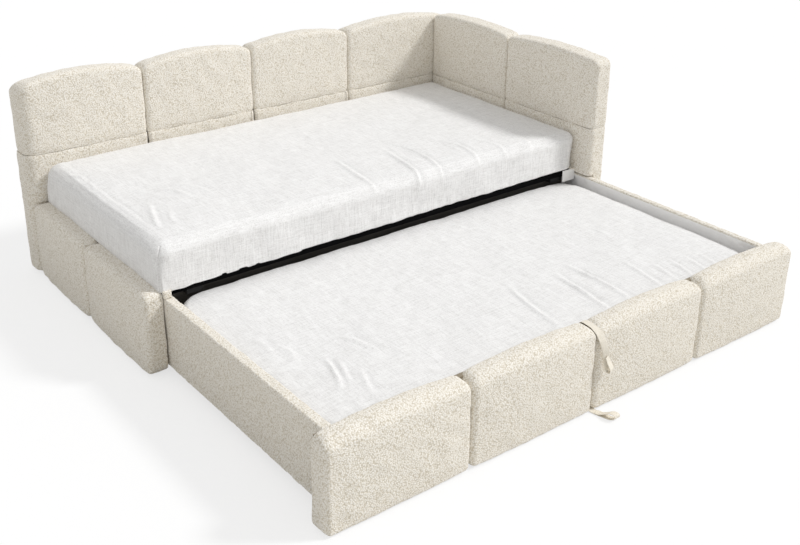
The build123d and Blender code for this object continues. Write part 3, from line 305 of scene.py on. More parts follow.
def lattice(spans):
    """The six faces of a box as one closed skin: every point of three lists of places that lies on
    a face, once, and quads that look outwards."""
    sizes = [len(span) for span in spans]
    grid = np.indices(sizes)
    last = np.array(sizes).reshape(3, 1, 1, 1) - 1
    skin = ((grid == 0) | (grid == last)).any(axis=0)
    ids = np.full(sizes, -1)
    ids[skin] = np.arange(skin.sum())
    points = np.stack([span[index[skin]] for span, index in zip(spans, grid)], axis=1)
    quads = []
    for axis in range(3):
        for end in (0, -1):
            face = np.take(ids, end, axis=axis)
            ring = (face[:-1, :-1], face[1:, :-1], face[1:, 1:], face[:-1, 1:])
            quad = np.stack(ring, axis=-1).reshape(-1, 4)
            outward = (end == -1) != (axis == 1)
            quads.append(quad if outward else quad[:, ::-1])
    return points, np.concatenate(quads)


def ease(value):
    """A step from 0 to 1 with soft ends."""
    held = np.clip(value, 0, 1)
    return held * held * (3 - 2 * held)


def rounded(points, low, high, corner, front, rear):
    """A box drawn round. Its outline, on the first two axes, has corners of a radius given for each
    point. The edges of its front and rear faces are quarter ellipses of (inset, drop), given for
    the outline's left, right, bottom and top and mixed round its corners. Each point keeps its
    share of the way out from the outline's core and turns evenly round the ellipse."""
    middle = (low[:2] + high[:2]) / 2
    half = (high[:2] - low[:2]) / 2
    flat = points[:, :2] - middle
    core = half - corner[:, None]
    centre = np.clip(flat, -core, core)
    way = (flat - centre) / corner[:, None]
    share = np.abs(way).max(axis=1)
    even = np.tan(way / np.maximum(share, TINY)[:, None] * math.pi / 4)
    way = even / np.maximum(np.linalg.norm(even, axis=1), TINY)[:, None]
    out = corner * share
    depth = points[:, 2].copy()
    for face, sign, edges in ((high[2], 1, front), (low[2], -1, rear)):
        left, right, below, above = np.array(edges)
        level = np.where(way[:, :1] < 0, left, right)
        inset, drop = (level + (np.where(way[:, 1:] < 0, below, above) - level) * way[:, 1:] ** 2).T
        across = (out - corner + inset) / inset
        up = (drop - sign * (face - depth)) / drop
        turned = (across > 0) & (up > 0)
        inset, drop, most = inset[turned], drop[turned], np.maximum(across, up)[turned]
        pair = np.tan(np.stack([across, up])[:, turned] / most * math.pi / 4)
        pair = pair / np.linalg.norm(pair, axis=0) * most
        out[turned] = corner[turned] - inset + inset * pair[0]
        depth[turned] = face - sign * drop * (1 - pair[1])
    plan = middle + centre + way * out[:, None]
    return np.column_stack([plan, depth]), way, share


def waves(points, length, seed, count=28):
    """A smooth uneven field of about -1 to 1: sine waves of about one length in random directions."""
    chance = np.random.default_rng(seed)
    ways = chance.normal(size=(count, points.shape[1]))
    ways /= np.linalg.norm(ways, axis=1)[:, None]
    turns = ways * (2 * math.pi / (length * chance.uniform(0.7, 1.5, count)))[:, None]
    phases = chance.uniform(0, 2 * math.pi, count)
    return np.sin(points @ turns.T + phases).sum(axis=1) / math.sqrt(count)


def outward(points, quads):
    """Unit normals at the points: each sums the cross products of the diagonals of its quads."""
    first, second, third, fourth = (points[quads[:, i]] for i in range(4))
    cross = np.cross(third - first, fourth - second)
    total = np.zeros_like(points)
    for i in range(4):
        np.add.at(total, quads[:, i], cross)
    return total / np.maximum(np.linalg.norm(total, axis=1), TINY)[:, None]


def cushion(
    low, high, corners, front, rear, crown, dome=0.0, sag=0.0, below=None, above=None, hollow=None,
    pull=(0.3, 0.3), widen=0.0, sunk=0.25, step=PAD_STEP,
):
    """One upholstered segment: a box drawn round, with a crowned face, a domed top and a bowed
    bottom. corners are the outline's radii below and above, widen is what its left ones have more,
    and the crown stands proud of the box but for its share sunk. below and above are cut edges,
    flat to the next segment, to which the front is drawn in by (height, depth) and each side by a
    share of it, pull. hollow is a box that the frame fills: the rear is pushed in to its far side."""
    rows = []
    if below:
        rows += [low[1] + below[0] * part for part in CUT_ROWS]
    if above:
        rows += [high[1] - above[0] * part for part in CUT_ROWS]
    sides = [[], []]
    if hollow is not None:
        sides = [[hollow[end][i] + s for end in (0, 1) for s in (-SPLIT, SPLIT)] for i in (0, 1)]
    start, quads = lattice([
        places(low[0], high[0], step, sides[0]),
        places(low[1], high[1], step, sides[1] + rows),
        places(low[2], high[2], step),
    ])
    outline_low, outline_high = low.copy(), high.copy()
    if below:
        outline_low[1] -= corners[0] + widen
    if above:
        outline_high[1] += corners[1] + widen
    size = high - low
    middle = (low + high) / 2
    upward = ease(2 * (start[:, 1] - middle[1]) / size[1] + 0.5)
    rightward = ease(2 * (start[:, 0] - middle[0]) / size[0] + 0.5)
    corner = corners[0] + (corners[1] - corners[0]) * upward
    corner += widen * (1 - rightward)
    points, _, _ = rounded(start, outline_low, outline_high, corner, front, rear)
    across = 2 * (points[:, 0] - middle[0]) / size[0]
    up = (points[:, 1] - low[1]) / size[1]
    along = 2 * (points[:, 1] - outline_low[1]) / (outline_high[1] - outline_low[1]) - 1
    deepest = max(drop for _, drop in front)
    face = ease((points[:, 2] - high[2] + deepest) / deepest)
    bulge = (1 - np.abs(across) ** BULGE_POWER) * (1 - np.abs(along) ** BULGE_POWER)
    points[:, 2] += crown * (bulge - sunk) * face
    share = np.where(across < 0, *pull) * across
    for edge, sign, cut in ((low[1], 1, below), (high[1], -1, above)):
        if cut:
            near = np.clip(1 - sign * (start[:, 1] - edge) / cut[0], 0, 1)
            draw = cut[1] * near**DRAW_POWER
            points[:, 0] -= draw * share
            points[:, 2] -= (points[:, 2] - low[2]) * draw / size[2]
    points[:, 1] -= dome * across**2 * up**2
    points[:, 1] += sag * across**2 * (1 - up) ** 2
    if hollow is not None:
        bed = hollow[1][2]
        limit = max(high[2] - deepest - FACE_SKIN, bed + LEAST_FILL)
        inside = ((start[:, :2] > hollow[0][:2]) & (start[:, :2] < hollow[1][:2])).all(axis=1)
        inside &= points[:, 2] < limit
        part = (points[inside, 2] - low[2]) / (limit - low[2])
        points[inside, 2] = bed + (limit - bed) * part
    return points, quads


def soften(points, quads, amount, seed):
    """Foam and cloth are never quite even: wide swells, with small puckers on them."""
    swell = waves(points, SWELL, seed) + 0.4 * waves(points, PUCKER, seed + 1)
    return points + outward(points, quads) * (amount * swell)[:, None]


def local_box(node, turn, grow=0.0):
    """A node's lowest and highest corners, as seen by a face that looks the way turn says."""
    corners = np.array([list(corner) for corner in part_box(node)]) @ turn.T
    return corners.min(axis=0) - grow, corners.max(axis=0) + grow


def add_piece(
    name, points, quads, materials, body, replaced=(), sharp=50, weave=None,
    second=None,
):
    """A finished mesh, smooth but for its sharp edges, that rides on a body. weave is its pattern's
    own coordinates, and second is 1 for each quad that has the second material."""
    mesh = bpy.data.meshes.new(name)
    mesh.vertices.add(len(points))
    mesh.vertices.foreach_set("co", points.astype(np.float32).ravel())
    mesh.loops.add(quads.size)
    mesh.loops.foreach_set("vertex_index", quads.astype(np.int32).ravel())
    mesh.polygons.add(len(quads))
    mesh.polygons.foreach_set("loop_start", np.arange(0, quads.size, 4, dtype=np.int32))
    for material in materials:
        mesh.materials.append(material)
    if second is not None:
        mesh.polygons.foreach_set("material_index", second.astype(np.int32))
    mesh.update(calc_edges=True)
    if weave is not None:
        layer = mesh.uv_layers.new(name="weave")
        layer.uv.foreach_set("vector", weave[quads.ravel()].astype(np.float32).ravel())
    mesh.shade_smooth()
    mesh.set_sharp_from_angle(angle=math.radians(sharp))
    made = bpy.data.objects.new(name, mesh)
    bpy.context.scene.collection.objects.link(made)
    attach(made, body)
    if replaced:
        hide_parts(*replaced)
    return made


cream = boucle()
# Foam and covers clear the frame inside them by this much.
FIT = 0.0003


def upholster(
    name, node, turn, body, seed, frame_node=None, grow=AS_PACKED, amount=0.0008, fill=0.85, **style
):
    """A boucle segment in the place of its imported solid, larger than its box by grow."""
    low, high = local_box(node, turn)
    low, high = low - np.array(grow[0]), high + np.array(grow[1])
    hollow = None
    if frame_node:
        hollow = local_box(frame_node, turn, FIT)
    points, quads = cushion(low, high, hollow=hollow, **style)
    points = soften(points @ turn, quads, amount, seed)
    return add_piece(name, points, quads, [cream], body, [node])


def edges(first, last, left_end=SEWN_EDGE, right_end=SEWN_EDGE):
    """A back segment's front edges: tight where it is sewn to the next, softer at a free end."""
    return (left_end if first else SEWN_EDGE, right_end if last else SEWN_EDGE, TOP_EDGE, TOP_EDGE)


DOME = 0.030
BACK_END = (0.046, 0.046)
END_WIDER = 0.016
BACK_REAR = ((0.018, 0.055), (0.018, 0.055), TIGHT_EDGE, (0.03, 0.075))
END_REAR = ((0.012, 0.02),) + BACK_REAR[1:]
BACK_CORNERS = (0.032, 0.032)
UPPER_END_FULLER = ((0.008, 0.0, 0.0), (0.0, 0.0, 0.0))
LOWER_END_FULLER = ((0.012, 0.0, 0.0), (0.0, 0.0, 0.0))
UPPER_CROWN, LOWER_CROWN = 0.009, 0.002
SEWN_PULL, END_PULL = 0.3, 0.9
for i in range(1, 5):
    at_end = i == 1
    style = dict(
        corners=BACK_CORNERS, front=edges(at_end, False, BACK_END),
        rear=END_REAR if at_end else BACK_REAR, pull=(END_PULL if at_end else SEWN_PULL, SEWN_PULL),
        widen=END_WIDER if at_end else 0.0,
    )
    upholster(
        f"back_upper_segment_{i}", f"back_upper_pad_{i}", FACES_FRONT, "daybed", 10 + i, "back_rails",
        grow=UPPER_END_FULLER if at_end else AS_PACKED,
        crown=UPPER_CROWN, dome=DOME, below=SEAM_UPPER, **style,
    )
    upholster(
        f"back_lower_segment_{i}", f"back_lower_pad_{i}", FACES_FRONT, "daybed", 20 + i, "back_rails",
        grow=LOWER_END_FULLER if at_end else AS_PACKED,
        crown=LOWER_CROWN, below=FLUSH, above=SEAM_LOWER, **style,
    )
upholster(
    "back_skirt_wrap", "back_skirt", FACES_FRONT, "daybed", 30, "back_rails",
    grow=LOWER_END_FULLER, fill=0.8, corners=BACK_CORNERS, front=(BACK_END, SEWN_EDGE, HEM, HEM),
    rear=END_REAR[:3] + (TIGHT_EDGE,), crown=0.0, below=HEM, above=FLUSH, widen=END_WIDER,
)
COVER_STYLE = dict(
    corners=(0.008, 0.008), front=((0.005, 0.005),) * 4, rear=((0.001, 0.001),) * 4,
    crown=0.001, step=0.009,
)
upholster("back_rear_panel", "back_cover", FACES_REAR, "daybed", 31, fill=0.8, **COVER_STYLE)


# Side wall
# The wall at the right is built like the back, two segments long, with a round front end. Its
# skirt is set back, so that the mattress above and the trundle below both find their room.
WALL_DOME = 0.016
END_EDGE = (0.024, 0.024)
for i in (1, 2):
    style = dict(
        front=edges(False, i == 2, right_end=END_EDGE), rear=(TIGHT_EDGE,) * 4,
        corners=(0.028, 0.028), pull=(SEWN_PULL, END_PULL if i == 2 else SEWN_PULL),
    )
    upholster(
        f"wall_upper_segment_{i}", f"wall_upper_pad_{i}", FACES_LEFT, "daybed", 40 + i, "wall_rails",
        crown=UPPER_CROWN, dome=WALL_DOME, below=SEAM_UPPER, **style,
    )
    upholster(
        f"wall_lower_segment_{i}", f"wall_lower_pad_{i}", FACES_LEFT, "daybed", 50 + i, "wall_rails",
        crown=LOWER_CROWN, below=FLUSH, above=SEAM_LOWER, **style,
    )
CLEAR_OF_TRUNDLE = ((0.0, 0.0, 0.0), (-0.0018, 0.0, -0.002))
upholster(
    "wall_skirt_wrap", "wall_skirt", FACES_LEFT, "daybed", 60, "wall_rails",
    grow=CLEAR_OF_TRUNDLE, fill=0.8, corners=(0.01, 0.01),
    front=((0.004, 0.004),) * 4, rear=((0.004, 0.004),) * 4, crown=0.0, below=HEM, above=FLUSH,
)
upholster("wall_outer_panel", "wall_cover", FACES_RIGHT, "daybed", 61, fill=0.8, **COVER_STYLE)


# Cover tucks
# In front of the steel rail the covers are tucked down to just above the trundle's sides: boucle
# under the wall's front end and at the low rail, and smooth lining cloth over the rail's right end
# and round the trundle's rear corner.
TUCK_STEP = 0.004
TIGHT = (0.003, 0.003)


def lining():
    """Smooth pale lining cloth: warm grey white, with a close plain weave."""
    finish = Finish("lining", roughness=0.8, specular=0.2)
    threads = [finish.noise(1.0, stretch) for stretch in ((700.0, 60.0, 700.0), (700.0, 700.0, 60.0))]
    weave = finish.sum(*[(thread, 0.5) for thread in threads])
    finish.colour(weave, (0.3, paint(243, 242, 240)), (0.7, paint(252, 251, 250)))
    finish.relief(weave, 0.0004)
    return finish.material


smooth_cloth = lining()


def tuck(name, low, high, turn, end, material, body="daybed"):
    """A small fold of cloth, cut flat above and below, seen from the way that turn faces. end is
    the radius of its right edge."""
    points, quads = cushion(
        np.array(low), np.array(high), corners=(end, end), front=(TIGHT, (end, end), TIGHT, TIGHT),
        rear=((0.001, 0.001),) * 4, crown=0.0, below=FLUSH, above=FLUSH, step=TUCK_STEP,
    )
    add_piece(name, points @ turn, quads, [material], body)


tuck("wall_end_tuck", (-0.0135, 0.3015, -0.9855), (0.069, 0.3165, -0.952), FACES_LEFT, 0.024, cream)
tuck(
    "rail_end_lining", (0.8845, 0.2665, -0.0147), (0.9545, 0.3155, -0.0105), FACES_FRONT, 0.001,
    smooth_cloth,
)
tuck(
    "rear_panel_lining", (0.934, 0.1, -0.0647), (0.9545, 0.2625, -0.0597), FACES_FRONT, 0.002,
    smooth_cloth, "trundle",
)
tuck("rail_top_tuck", (0.929, 0.3143, -0.085), (0.9515, 0.3185, -0.009), FACES_FRONT, 0.0015, cream)
tuck(
    "rail_end_tuck_left", (-0.9755, 0.2925, -0.0145), (-0.9465, 0.3155, -0.0005), FACES_FRONT, 0.004,
    cream,
)


# Low rail
# A board at the open side, wrapped by two pillow-like pads with round corners and bowed bottoms.
for i in (1, 2):
    upholster(
        f"low_rail_cushion_{i}", f"low_rail_pad_{i}", FACES_LEFT, "daybed", 70 + i, "low_rail_board",
        grow=((-0.0012, 0.0, 0.0), (-0.0012, 0.0, 0.002)), corners=(0.034, 0.027),
        front=((0.016, 0.016), (0.016, 0.016), (0.012, 0.012), (0.022, 0.026)),
        rear=((0.003, 0.003), (0.003, 0.003), (0.008, 0.008), (0.003, 0.003)),
        crown=0.012, dome=0.003, sag=0.006, sunk=0.1,
    )


# Mattresses
# Two twin foam mattresses in white linen-weave fitted sheets. The sheet is drawn in under the
# bottom edge, seamed at the corners, and creased where the foam has been sat on.
MATTRESS_STEP = 0.007
# A fold is worked out within so many of its widths. It hangs so far down the side, and fades
# over the lowest stretch of that.
FOLD_REACH = 4
FOLD_HANG, FOLD_FADE = 0.085, 0.06
# Its trough: a share of its height, and how far off and how wide, in widths of the fold.
TROUGH, TROUGH_PLACE, TROUGH_WIDTH = 0.55, 1.7, 1.2
# Extra lines of the mesh along each edge take the shoulders, the hem and the piping.
EDGE_LINES = (0.0012, 0.0025, 0.004, 0.0055, 0.0155, 0.0175, 0.0195, 0.0225, 0.0245, 0.0265)
PIPING = (0.0175, 0.0245)


def linen():
    """White linen: fine threads and longer slubs along each axis, so that each face shows a weave."""
    finish = Finish("linen", roughness=0.85, specular=0.15, sheen=0.08)
    weave = []
    for axis, weight in zip(range(3), (0.27, 0.25, 0.33)):
        thread = [780.0] * 3
        slub = [300.0] * 3
        thread[axis] = 70.0
        slub[axis] = 16.0
        weave.append((finish.noise(1.0, thread, detail=1.0), weight * 0.8))
        weave.append((finish.noise(1.0, slub, detail=1.0), weight))
    cloth = finish.sum(*weave)
    finish.colour(
        cloth, (0.62, paint(214, 213, 211)), (0.76, paint(234, 233, 232)), (0.9, paint(246, 246, 245))
    )
    finish.relief(cloth, 0.0014)
    return finish.material


white = linen()


def curve_through(stations, count=40):
    """A smooth line through a few places: each coordinate is a polynomial along the line."""
    stations = np.array(stations)
    along = np.linspace(0, 1, len(stations))
    power = len(stations) - 1
    fits = [np.polyfit(along, stations[:, i], power) for i in range(stations.shape[1])]
    fine = np.linspace(0, 1, count)
    return fine, np.stack([np.polyval(fit, fine) for fit in fits], axis=1)


def creases(points, folds, top):
    """How far folds lift the sheet. Each is (stations, height, width): a ridge along its line, with
    a shallow trough beside it, that fades at its ends and down the side."""
    lift = np.zeros(len(points))
    for stations, height, width in folds:
        fine, line = curve_through(stations)
        heading = np.gradient(line, axis=0)
        heading /= np.linalg.norm(heading, axis=1)[:, None]
        near = np.flatnonzero(
            (points[:, :2] > line.min(axis=0) - FOLD_REACH * width).all(axis=1)
            & (points[:, :2] < line.max(axis=0) + FOLD_REACH * width).all(axis=1)
            & (points[:, 2] > top - FOLD_HANG)
        )
        gap = points[near, None, :2] - line[None]
        closest = np.linalg.norm(gap, axis=2).argmin(axis=1)
        apart = gap[np.arange(len(near)), closest]
        side = heading[closest, 0] * apart[:, 1] - heading[closest, 1] * apart[:, 0]
        ends = np.linalg.norm(apart, axis=1) - np.abs(side)
        share = fine[closest]
        fade = np.sin(math.pi * np.clip(share * 0.94 + 0.03, 0, 1)) ** 0.7
        fade = fade * np.exp(-(ends / width) ** 2)
        beside = (side - TROUGH_PLACE * width) / (TROUGH_WIDTH * width)
        ridge = np.exp(-((side / width) ** 2)) - TROUGH * np.exp(-(beside**2))
        lift[near] += height * ridge * fade
    return lift * ease((points[:, 2] - top + FOLD_HANG) / FOLD_FADE)


# The sheet's own shape. Each kind of wave is a height and a length, and a share is one of the
# mattress's height, up from its bottom.
HEM_DRAW, HEM_SHARE = 0.0035, 0.34
WAIST = 0.003
GATHERS, GATHERED_SHARE = (0.0008, 0.045), 0.5
WIDE_SLACK, SMALL_SLACK = (0.002, 0.16), (0.0005, 0.05)
SEAM_DEPTH, SEAM_WIDTH = 0.0036, 0.0032
CROWN_RUN, CROWN_FALL = 0.27, 0.011
WIDE_ROLLS, SMALL_ROLLS = (0.0016, 0.28), (0.0005, 0.06)
SCALLOPS, SCALLOPED_SHARE = (0.0009, 0.08), 0.12
PIPING_WIDTH = 0.0013


def uneven(points, wave, seed):
    """Waves of a (height, length): the height times a field of about -1 to 1."""
    height, length = wave
    return height * waves(points, length, seed)


def mattress(
    name, node, body, grow, corners, shoulder, underside, hang, flat_back, piping, folds, seed
):
    """A foam mattress in its sheet, a little larger than its box by grow: soft shoulders, round
    corners of (below, above) for the left and the right, sides drawn in between the corners, a low
    crown, gathers at a hem that hangs over the front by so much at the left and the right, and the
    given folds. flat_back keeps the crown full at the rear, and piping is the height of two
    stitched lines along the left end."""
    low, high = (np.array(list(corner_point)) for corner_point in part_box(node))
    low, high = low - np.array(grow[0]), high + np.array(grow[1])
    near = [
        [low[i] + part for part in EDGE_LINES] + [high[i] - part for part in EDGE_LINES] for i in (0, 1)
    ]
    start, quads = lattice([
        places(low[i], high[i], MATTRESS_STEP, near[i] if i < 2 else ()) for i in range(3)
    ])
    rising = ease((start[:, 2] - low[2]) / (high[2] - low[2]) * 1.6 - 0.4)
    rightward = ease((start[:, 0] - low[0]) / (high[0] - low[0]))
    left, right = (ends[0] + (ends[1] - ends[0]) * rising for ends in corners)
    corner = left + (right - left) * rightward
    points, way, share = rounded(start, low, high, corner, shoulder, underside)
    middle, half = (low + high) / 2, (high - low) / 2
    span = np.abs(points[:, :2] - middle[:2]) / half[:2]
    up = (points[:, 2] - low[2]) / (high[2] - low[2])
    at_end = way[:, 0] ** 2
    hem = HEM_DRAW * (1 - at_end) * (1 - ease(up / HEM_SHARE)) * (way[:, 1] > 0)
    waist = WAIST * (1 - at_end) * (1 - span[:, 0] ** 2)
    gather = uneven(points[:, :2], GATHERS, seed) * (1 - ease(up / GATHERED_SHARE))
    slack = uneven(points, WIDE_SLACK, seed + 1) + uneven(points, SMALL_SLACK, seed + 2)
    inset = (hem + waist - (gather + slack) * (1 - 0.6 * at_end)) * share**2
    turn = np.abs(np.arctan2(np.abs(way[:, 1]), np.abs(way[:, 0])) - math.pi / 4) * corner
    on_corner = (np.abs(way).min(axis=1) > 0) * ease(share * 4 - 3)
    inset += SEAM_DEPTH * np.exp(-((turn / SEAM_WIDTH) ** 2)) * on_corner
    points[:, :2] -= way * inset[:, None]
    reach = half[:2] - np.abs(points[:, :2] - middle[:2])
    if flat_back:
        reach[:, 1] = points[:, 1] - low[1]
    crown = (1 - (1 - np.minimum(reach / CROWN_RUN, 1).clip(0)) ** 3).prod(axis=1)
    upper = ease((up - 0.7) / 0.3)
    rolls = uneven(points[:, :2], WIDE_ROLLS, seed + 3)
    rolls += uneven(points[:, :2], SMALL_ROLLS, seed + 4)
    points[:, 2] += (rolls - CROWN_FALL * (1 - crown)) * upper
    scallop = uneven(points[:, :2], SCALLOPS, seed + 5)
    scallop -= (hang[0] + (hang[1] - hang[0]) * rightward) * (way[:, 1] < -0.3)
    points[:, 2] += scallop * (1 - ease(up / SCALLOPED_SHARE)) * ease(share * 3 - 2)
    lift = creases(points, folds, high[2])
    for line in PIPING:
        on_line = np.exp(-(((start[:, 0] - low[0] - line) / PIPING_WIDTH) ** 2))
        lift += piping * on_line * (start[:, 2] > high[2] - TINY)
    points += outward(points, quads) * lift[:, None]
    add_piece(name, points, quads, [white], body, [node])


UPPER_FOLDS = [
    ([(-0.08, 0.31), (-0.087, 0.212), (-0.097, 0.1), (-0.1, 0.02)], 0.0061, 0.0082),
    ([(0.15, 0.31), (0.128, 0.16), (0.108, 0.04), (0.095, -0.01)], 0.0074, 0.0082),
    ([(0.2, 0.36), (0.237, 0.23), (0.228, 0.1), (0.214, -0.01)], 0.0074, 0.0082),
    ([(0.4, 0.25), (0.427, 0.163), (0.419, 0.075), (0.403, 0.0)], 0.0047, 0.0082),
    ([(0.52, 0.2), (0.56, 0.1), (0.54, 0.0)], 0.0034, 0.009),
    ([(0.66, 0.2), (0.7, 0.1), (0.68, 0.0)], 0.0027, 0.0098),
    ([(-0.85, 0.33), (-0.885, 0.23), (-0.91, 0.14)], 0.0054, 0.0082),
    ([(-0.82, 0.24), (-0.84, 0.19), (-0.845, 0.14)], 0.003, 0.0082),
    ([(-0.74, 0.44), (-0.715, 0.38), (-0.7, 0.31)], 0.0041, 0.009),
    ([(-0.68, 0.45), (-0.64, 0.38), (-0.62, 0.31)], 0.003, 0.0098),
    ([(-0.955, 0.8), (-0.93, 0.74), (-0.87, 0.72)], 0.0034, 0.0082),
    ([(-0.96, 0.7), (-0.925, 0.66), (-0.86, 0.66)], 0.0034, 0.0082),
    ([(-0.96, 0.6), (-0.93, 0.56), (-0.88, 0.57)], 0.0027, 0.0082),
    ([(-0.93, 0.93), (-0.936, 0.5), (-0.93, 0.08)], 0.0035, 0.007),
    ([(-0.95, 0.9), (-0.955, 0.5), (-0.95, 0.1)], 0.003, 0.007),
]
mattress(
    "upper_mattress_sheet", "upper_mattress", "daybed",
    grow=((0.013, 0.004, 0.0), (0.0205, 0.003, 0.0)), corners=((0.02, 0.06), (0.052, 0.034)),
    shoulder=((0.05, 0.055), (0.03, 0.045), (0.05, 0.05), (0.055, 0.048)),
    underside=((0.004, 0.01), (0.029, 0.044), (0.003, 0.003), (0.008, 0.008)),
    hang=(0.006, -0.006), flat_back=False, piping=0.0022, folds=UPPER_FOLDS, seed=100,
)
TRUNDLE_FOLDS = [
    ([(-0.735, -0.58), (-0.757, -0.66), (-0.79, -0.745)], 0.0074, 0.0082),
    ([(-0.715, -0.62), (-0.735, -0.68), (-0.755, -0.735)], 0.0041, 0.0082),
    ([(-0.64, -0.5), (-0.6, -0.56), (-0.585, -0.64)], 0.0047, 0.009),
    ([(-0.69, -0.7), (-0.712, -0.755), (-0.735, -0.82)], 0.0041, 0.0082),
    ([(-0.86, -0.35), (-0.84, -0.4), (-0.85, -0.46)], 0.0027, 0.009),
    ([(-0.83, -0.42), (-0.8, -0.48), (-0.815, -0.54)], 0.0027, 0.009),
    ([(0.04, -0.56), (0.0, -0.7), (-0.02, -0.86)], 0.0061, 0.009),
    ([(0.23, -0.6), (0.214, -0.73), (0.198, -0.88)], 0.0074, 0.009),
    ([(0.315, -0.55), (0.32, -0.7), (0.31, -0.87)], 0.0068, 0.009),
    ([(0.5, -0.68), (0.486, -0.78), (0.468, -0.88)], 0.0047, 0.0082),
    ([(0.58, -0.74), (0.565, -0.81), (0.55, -0.89)], 0.0034, 0.0082),
    ([(0.65, -0.76), (0.64, -0.82), (0.62, -0.9)], 0.0041, 0.0074),
    ([(0.72, -0.77), (0.71, -0.83), (0.69, -0.9)], 0.0038, 0.0074),
    ([(0.78, -0.79), (0.775, -0.84), (0.76, -0.9)], 0.003, 0.0074),
    ([(0.2, -0.03), (0.232, -0.07), (0.235, -0.12)], 0.0027, 0.0082),
    ([(0.62, -0.39), (0.633, -0.44), (0.625, -0.49)], 0.0027, 0.0082),
]
mattress(
    "trundle_mattress_sheet", "trundle_mattress", "trundle",
    grow=((0.0, 0.0, 0.0), (0.0, 0.004, 0.004)), corners=((0.12, 0.12), (0.12, 0.12)),
    shoulder=((0.036, 0.034), (0.036, 0.034), (0.036, 0.034), (0.014, 0.012)),
    underside=((0.01, 0.008),) * 4,
    hang=(0.0, 0.0), flat_back=True, piping=0.0, folds=TRUNDLE_FOLDS, seed=120,
)


# Trundle front
# A board wrapped by four plump pads with domed tops and bowed bottoms, each sewn to the next.
for i in range(1, 5):
    upholster(
        f"front_cushion_{i}", f"front_pad_{i}", FACES_FRONT, "trundle", 80 + i, "front_board",
        grow=((0.0, 0.004, 0.0), (0.0, 0.0, 0.005)), corners=(0.02, 0.036),
        front=((0.018, 0.022), (0.018, 0.022), (0.008, 0.009), (0.036, 0.042)),
        rear=((0.014, 0.014), (0.014, 0.014), (0.012, 0.012), (0.022, 0.022)),
        crown=0.012, dome=0.015, sag=0.003, sunk=0.0,
    )


# Trundle sides
# Each side board is folded over in boucle, padded a little wider towards its flat top. The inner
# face of the right one is lined with the smooth cloth.
TOP_CORNER = 0.006
SPREAD_HEIGHT = 0.13
LIP_HEIGHT = 0.03
LINING_DROP = 0.007
SIDE_STEP = 0.006
# How uneven the cover is, and how long its wide swells and small puckers are.
SIDE_UNEVENNESS = 0.0007
SIDE_SWELL, SIDE_PUCKER = 0.05, 0.016


def tube(count, steps):
    """The quads of a closed ring of count points that is carried along in so many steps."""
    row, place = np.meshgrid(np.arange(steps - 1), np.arange(count), indexing="ij")
    after = (place + 1) % count
    here, there = row * count, (row + 1) * count
    return np.stack([here + place, here + after, there + after, there + place], axis=-1).reshape(-1, 4)


def channel(node, board, left_reach, right_reach, raised, lined, name, seed):
    """A cover folded over a board: an outer line up one side, over the flat top and down the other,
    an inner line that follows the board, and both carried along the side. The top reaches so far
    to the left and right of the middle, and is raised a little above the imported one."""
    low, high = (np.array(list(corner_point)) for corner_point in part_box(node))
    high[2] += raised
    inner_low, inner_high = (np.array(list(corner_point)) for corner_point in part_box(board))
    middle = (low[0] + high[0]) / 2
    half = (high[0] - low[0]) / 2
    shoulder = high[2] - TOP_CORNER
    rise = places(low[2], shoulder, SIDE_STEP)
    below_top = rise - high[2]
    wide = ease((below_top + SPREAD_HEIGHT) / (SPREAD_HEIGHT - TOP_CORNER))
    lip = ease((below_top + LIP_HEIGHT) / (LIP_HEIGHT - TOP_CORNER))
    left = half + (left_reach - half) * (wide if left_reach < right_reach else lip)
    right = half + (right_reach - half) * lip
    turn = np.linspace(0, math.pi / 2, 6)[1:]
    flat = np.linspace(TOP_CORNER - left_reach, right_reach - TOP_CORNER, 6)
    across = np.concatenate([
        flat[0] - TOP_CORNER * np.cos(turn), flat[1:-1], flat[-1] + TOP_CORNER * np.cos(turn[::-1])
    ])
    above = TOP_CORNER * np.concatenate([np.sin(turn), np.ones(4), np.sin(turn[::-1])])
    x = np.concatenate([middle - left, middle + across, (middle + right)[::-1]])
    z = np.concatenate([rise, shoulder + above, rise[::-1]])
    inner_x = np.clip(x, inner_low[0] - FIT, inner_high[0] + FIT)
    inner_z = np.minimum(z, inner_high[2] + FIT)
    ring_x = np.concatenate([x, inner_x[::-1]])
    ring_z = np.concatenate([z, inner_z[::-1]])
    length = places(low[1], high[1], SIDE_STEP)
    count, steps = len(ring_x), len(length)
    points = [np.tile(ring_x, steps), np.repeat(length, count), np.tile(ring_z, steps)]
    points = np.stack(points, axis=1)
    wall = tube(count, steps)[:, [0, 3, 2, 1]]
    side = np.arange(len(x) - 1)
    cap = np.stack([side, side + 1, count - 2 - side, count - 1 - side], axis=-1)
    quads = np.concatenate([wall, cap, cap[:, ::-1] + (steps - 1) * count])
    outer = np.tile(np.arange(count) < len(x), steps)
    swell = waves(points, SIDE_SWELL, seed) + 0.5 * waves(points, SIDE_PUCKER, seed + 1)
    points = points + outward(points, quads) * (SIDE_UNEVENNESS * swell * outer)[:, None]
    pale = np.zeros(len(quads))
    if lined:
        centre = points[quads].mean(axis=1)
        pale = (centre[:, 0] < middle) & (centre[:, 2] < high[2] - LINING_DROP)
    add_piece(name, points, quads, [cream, smooth_cloth], "trundle", [node], second=pale)


channel("left_side_cover", "left_side_board", 0.0138, 0.022, 0.0, False, "left_side_wrap", 90)
channel("right_side_cover", "right_side_board", 0.0145, 0.0145, 0.0035, True, "right_side_wrap", 94)


# Pull straps
# Flat cream webbing, 25 mm wide, screwed behind the front board under small plates. The upper one
# comes over the middle groove and hangs down the front, the lower one comes out along the floor.
STRAP_WIDTH = 0.025
STRAP_THICKNESS = 0.002
STRAP_CORNERS = 5
STRAP_STEP = 0.0025
BEND_SOFTNESS = 0.006
FLAT_POINTS = 9


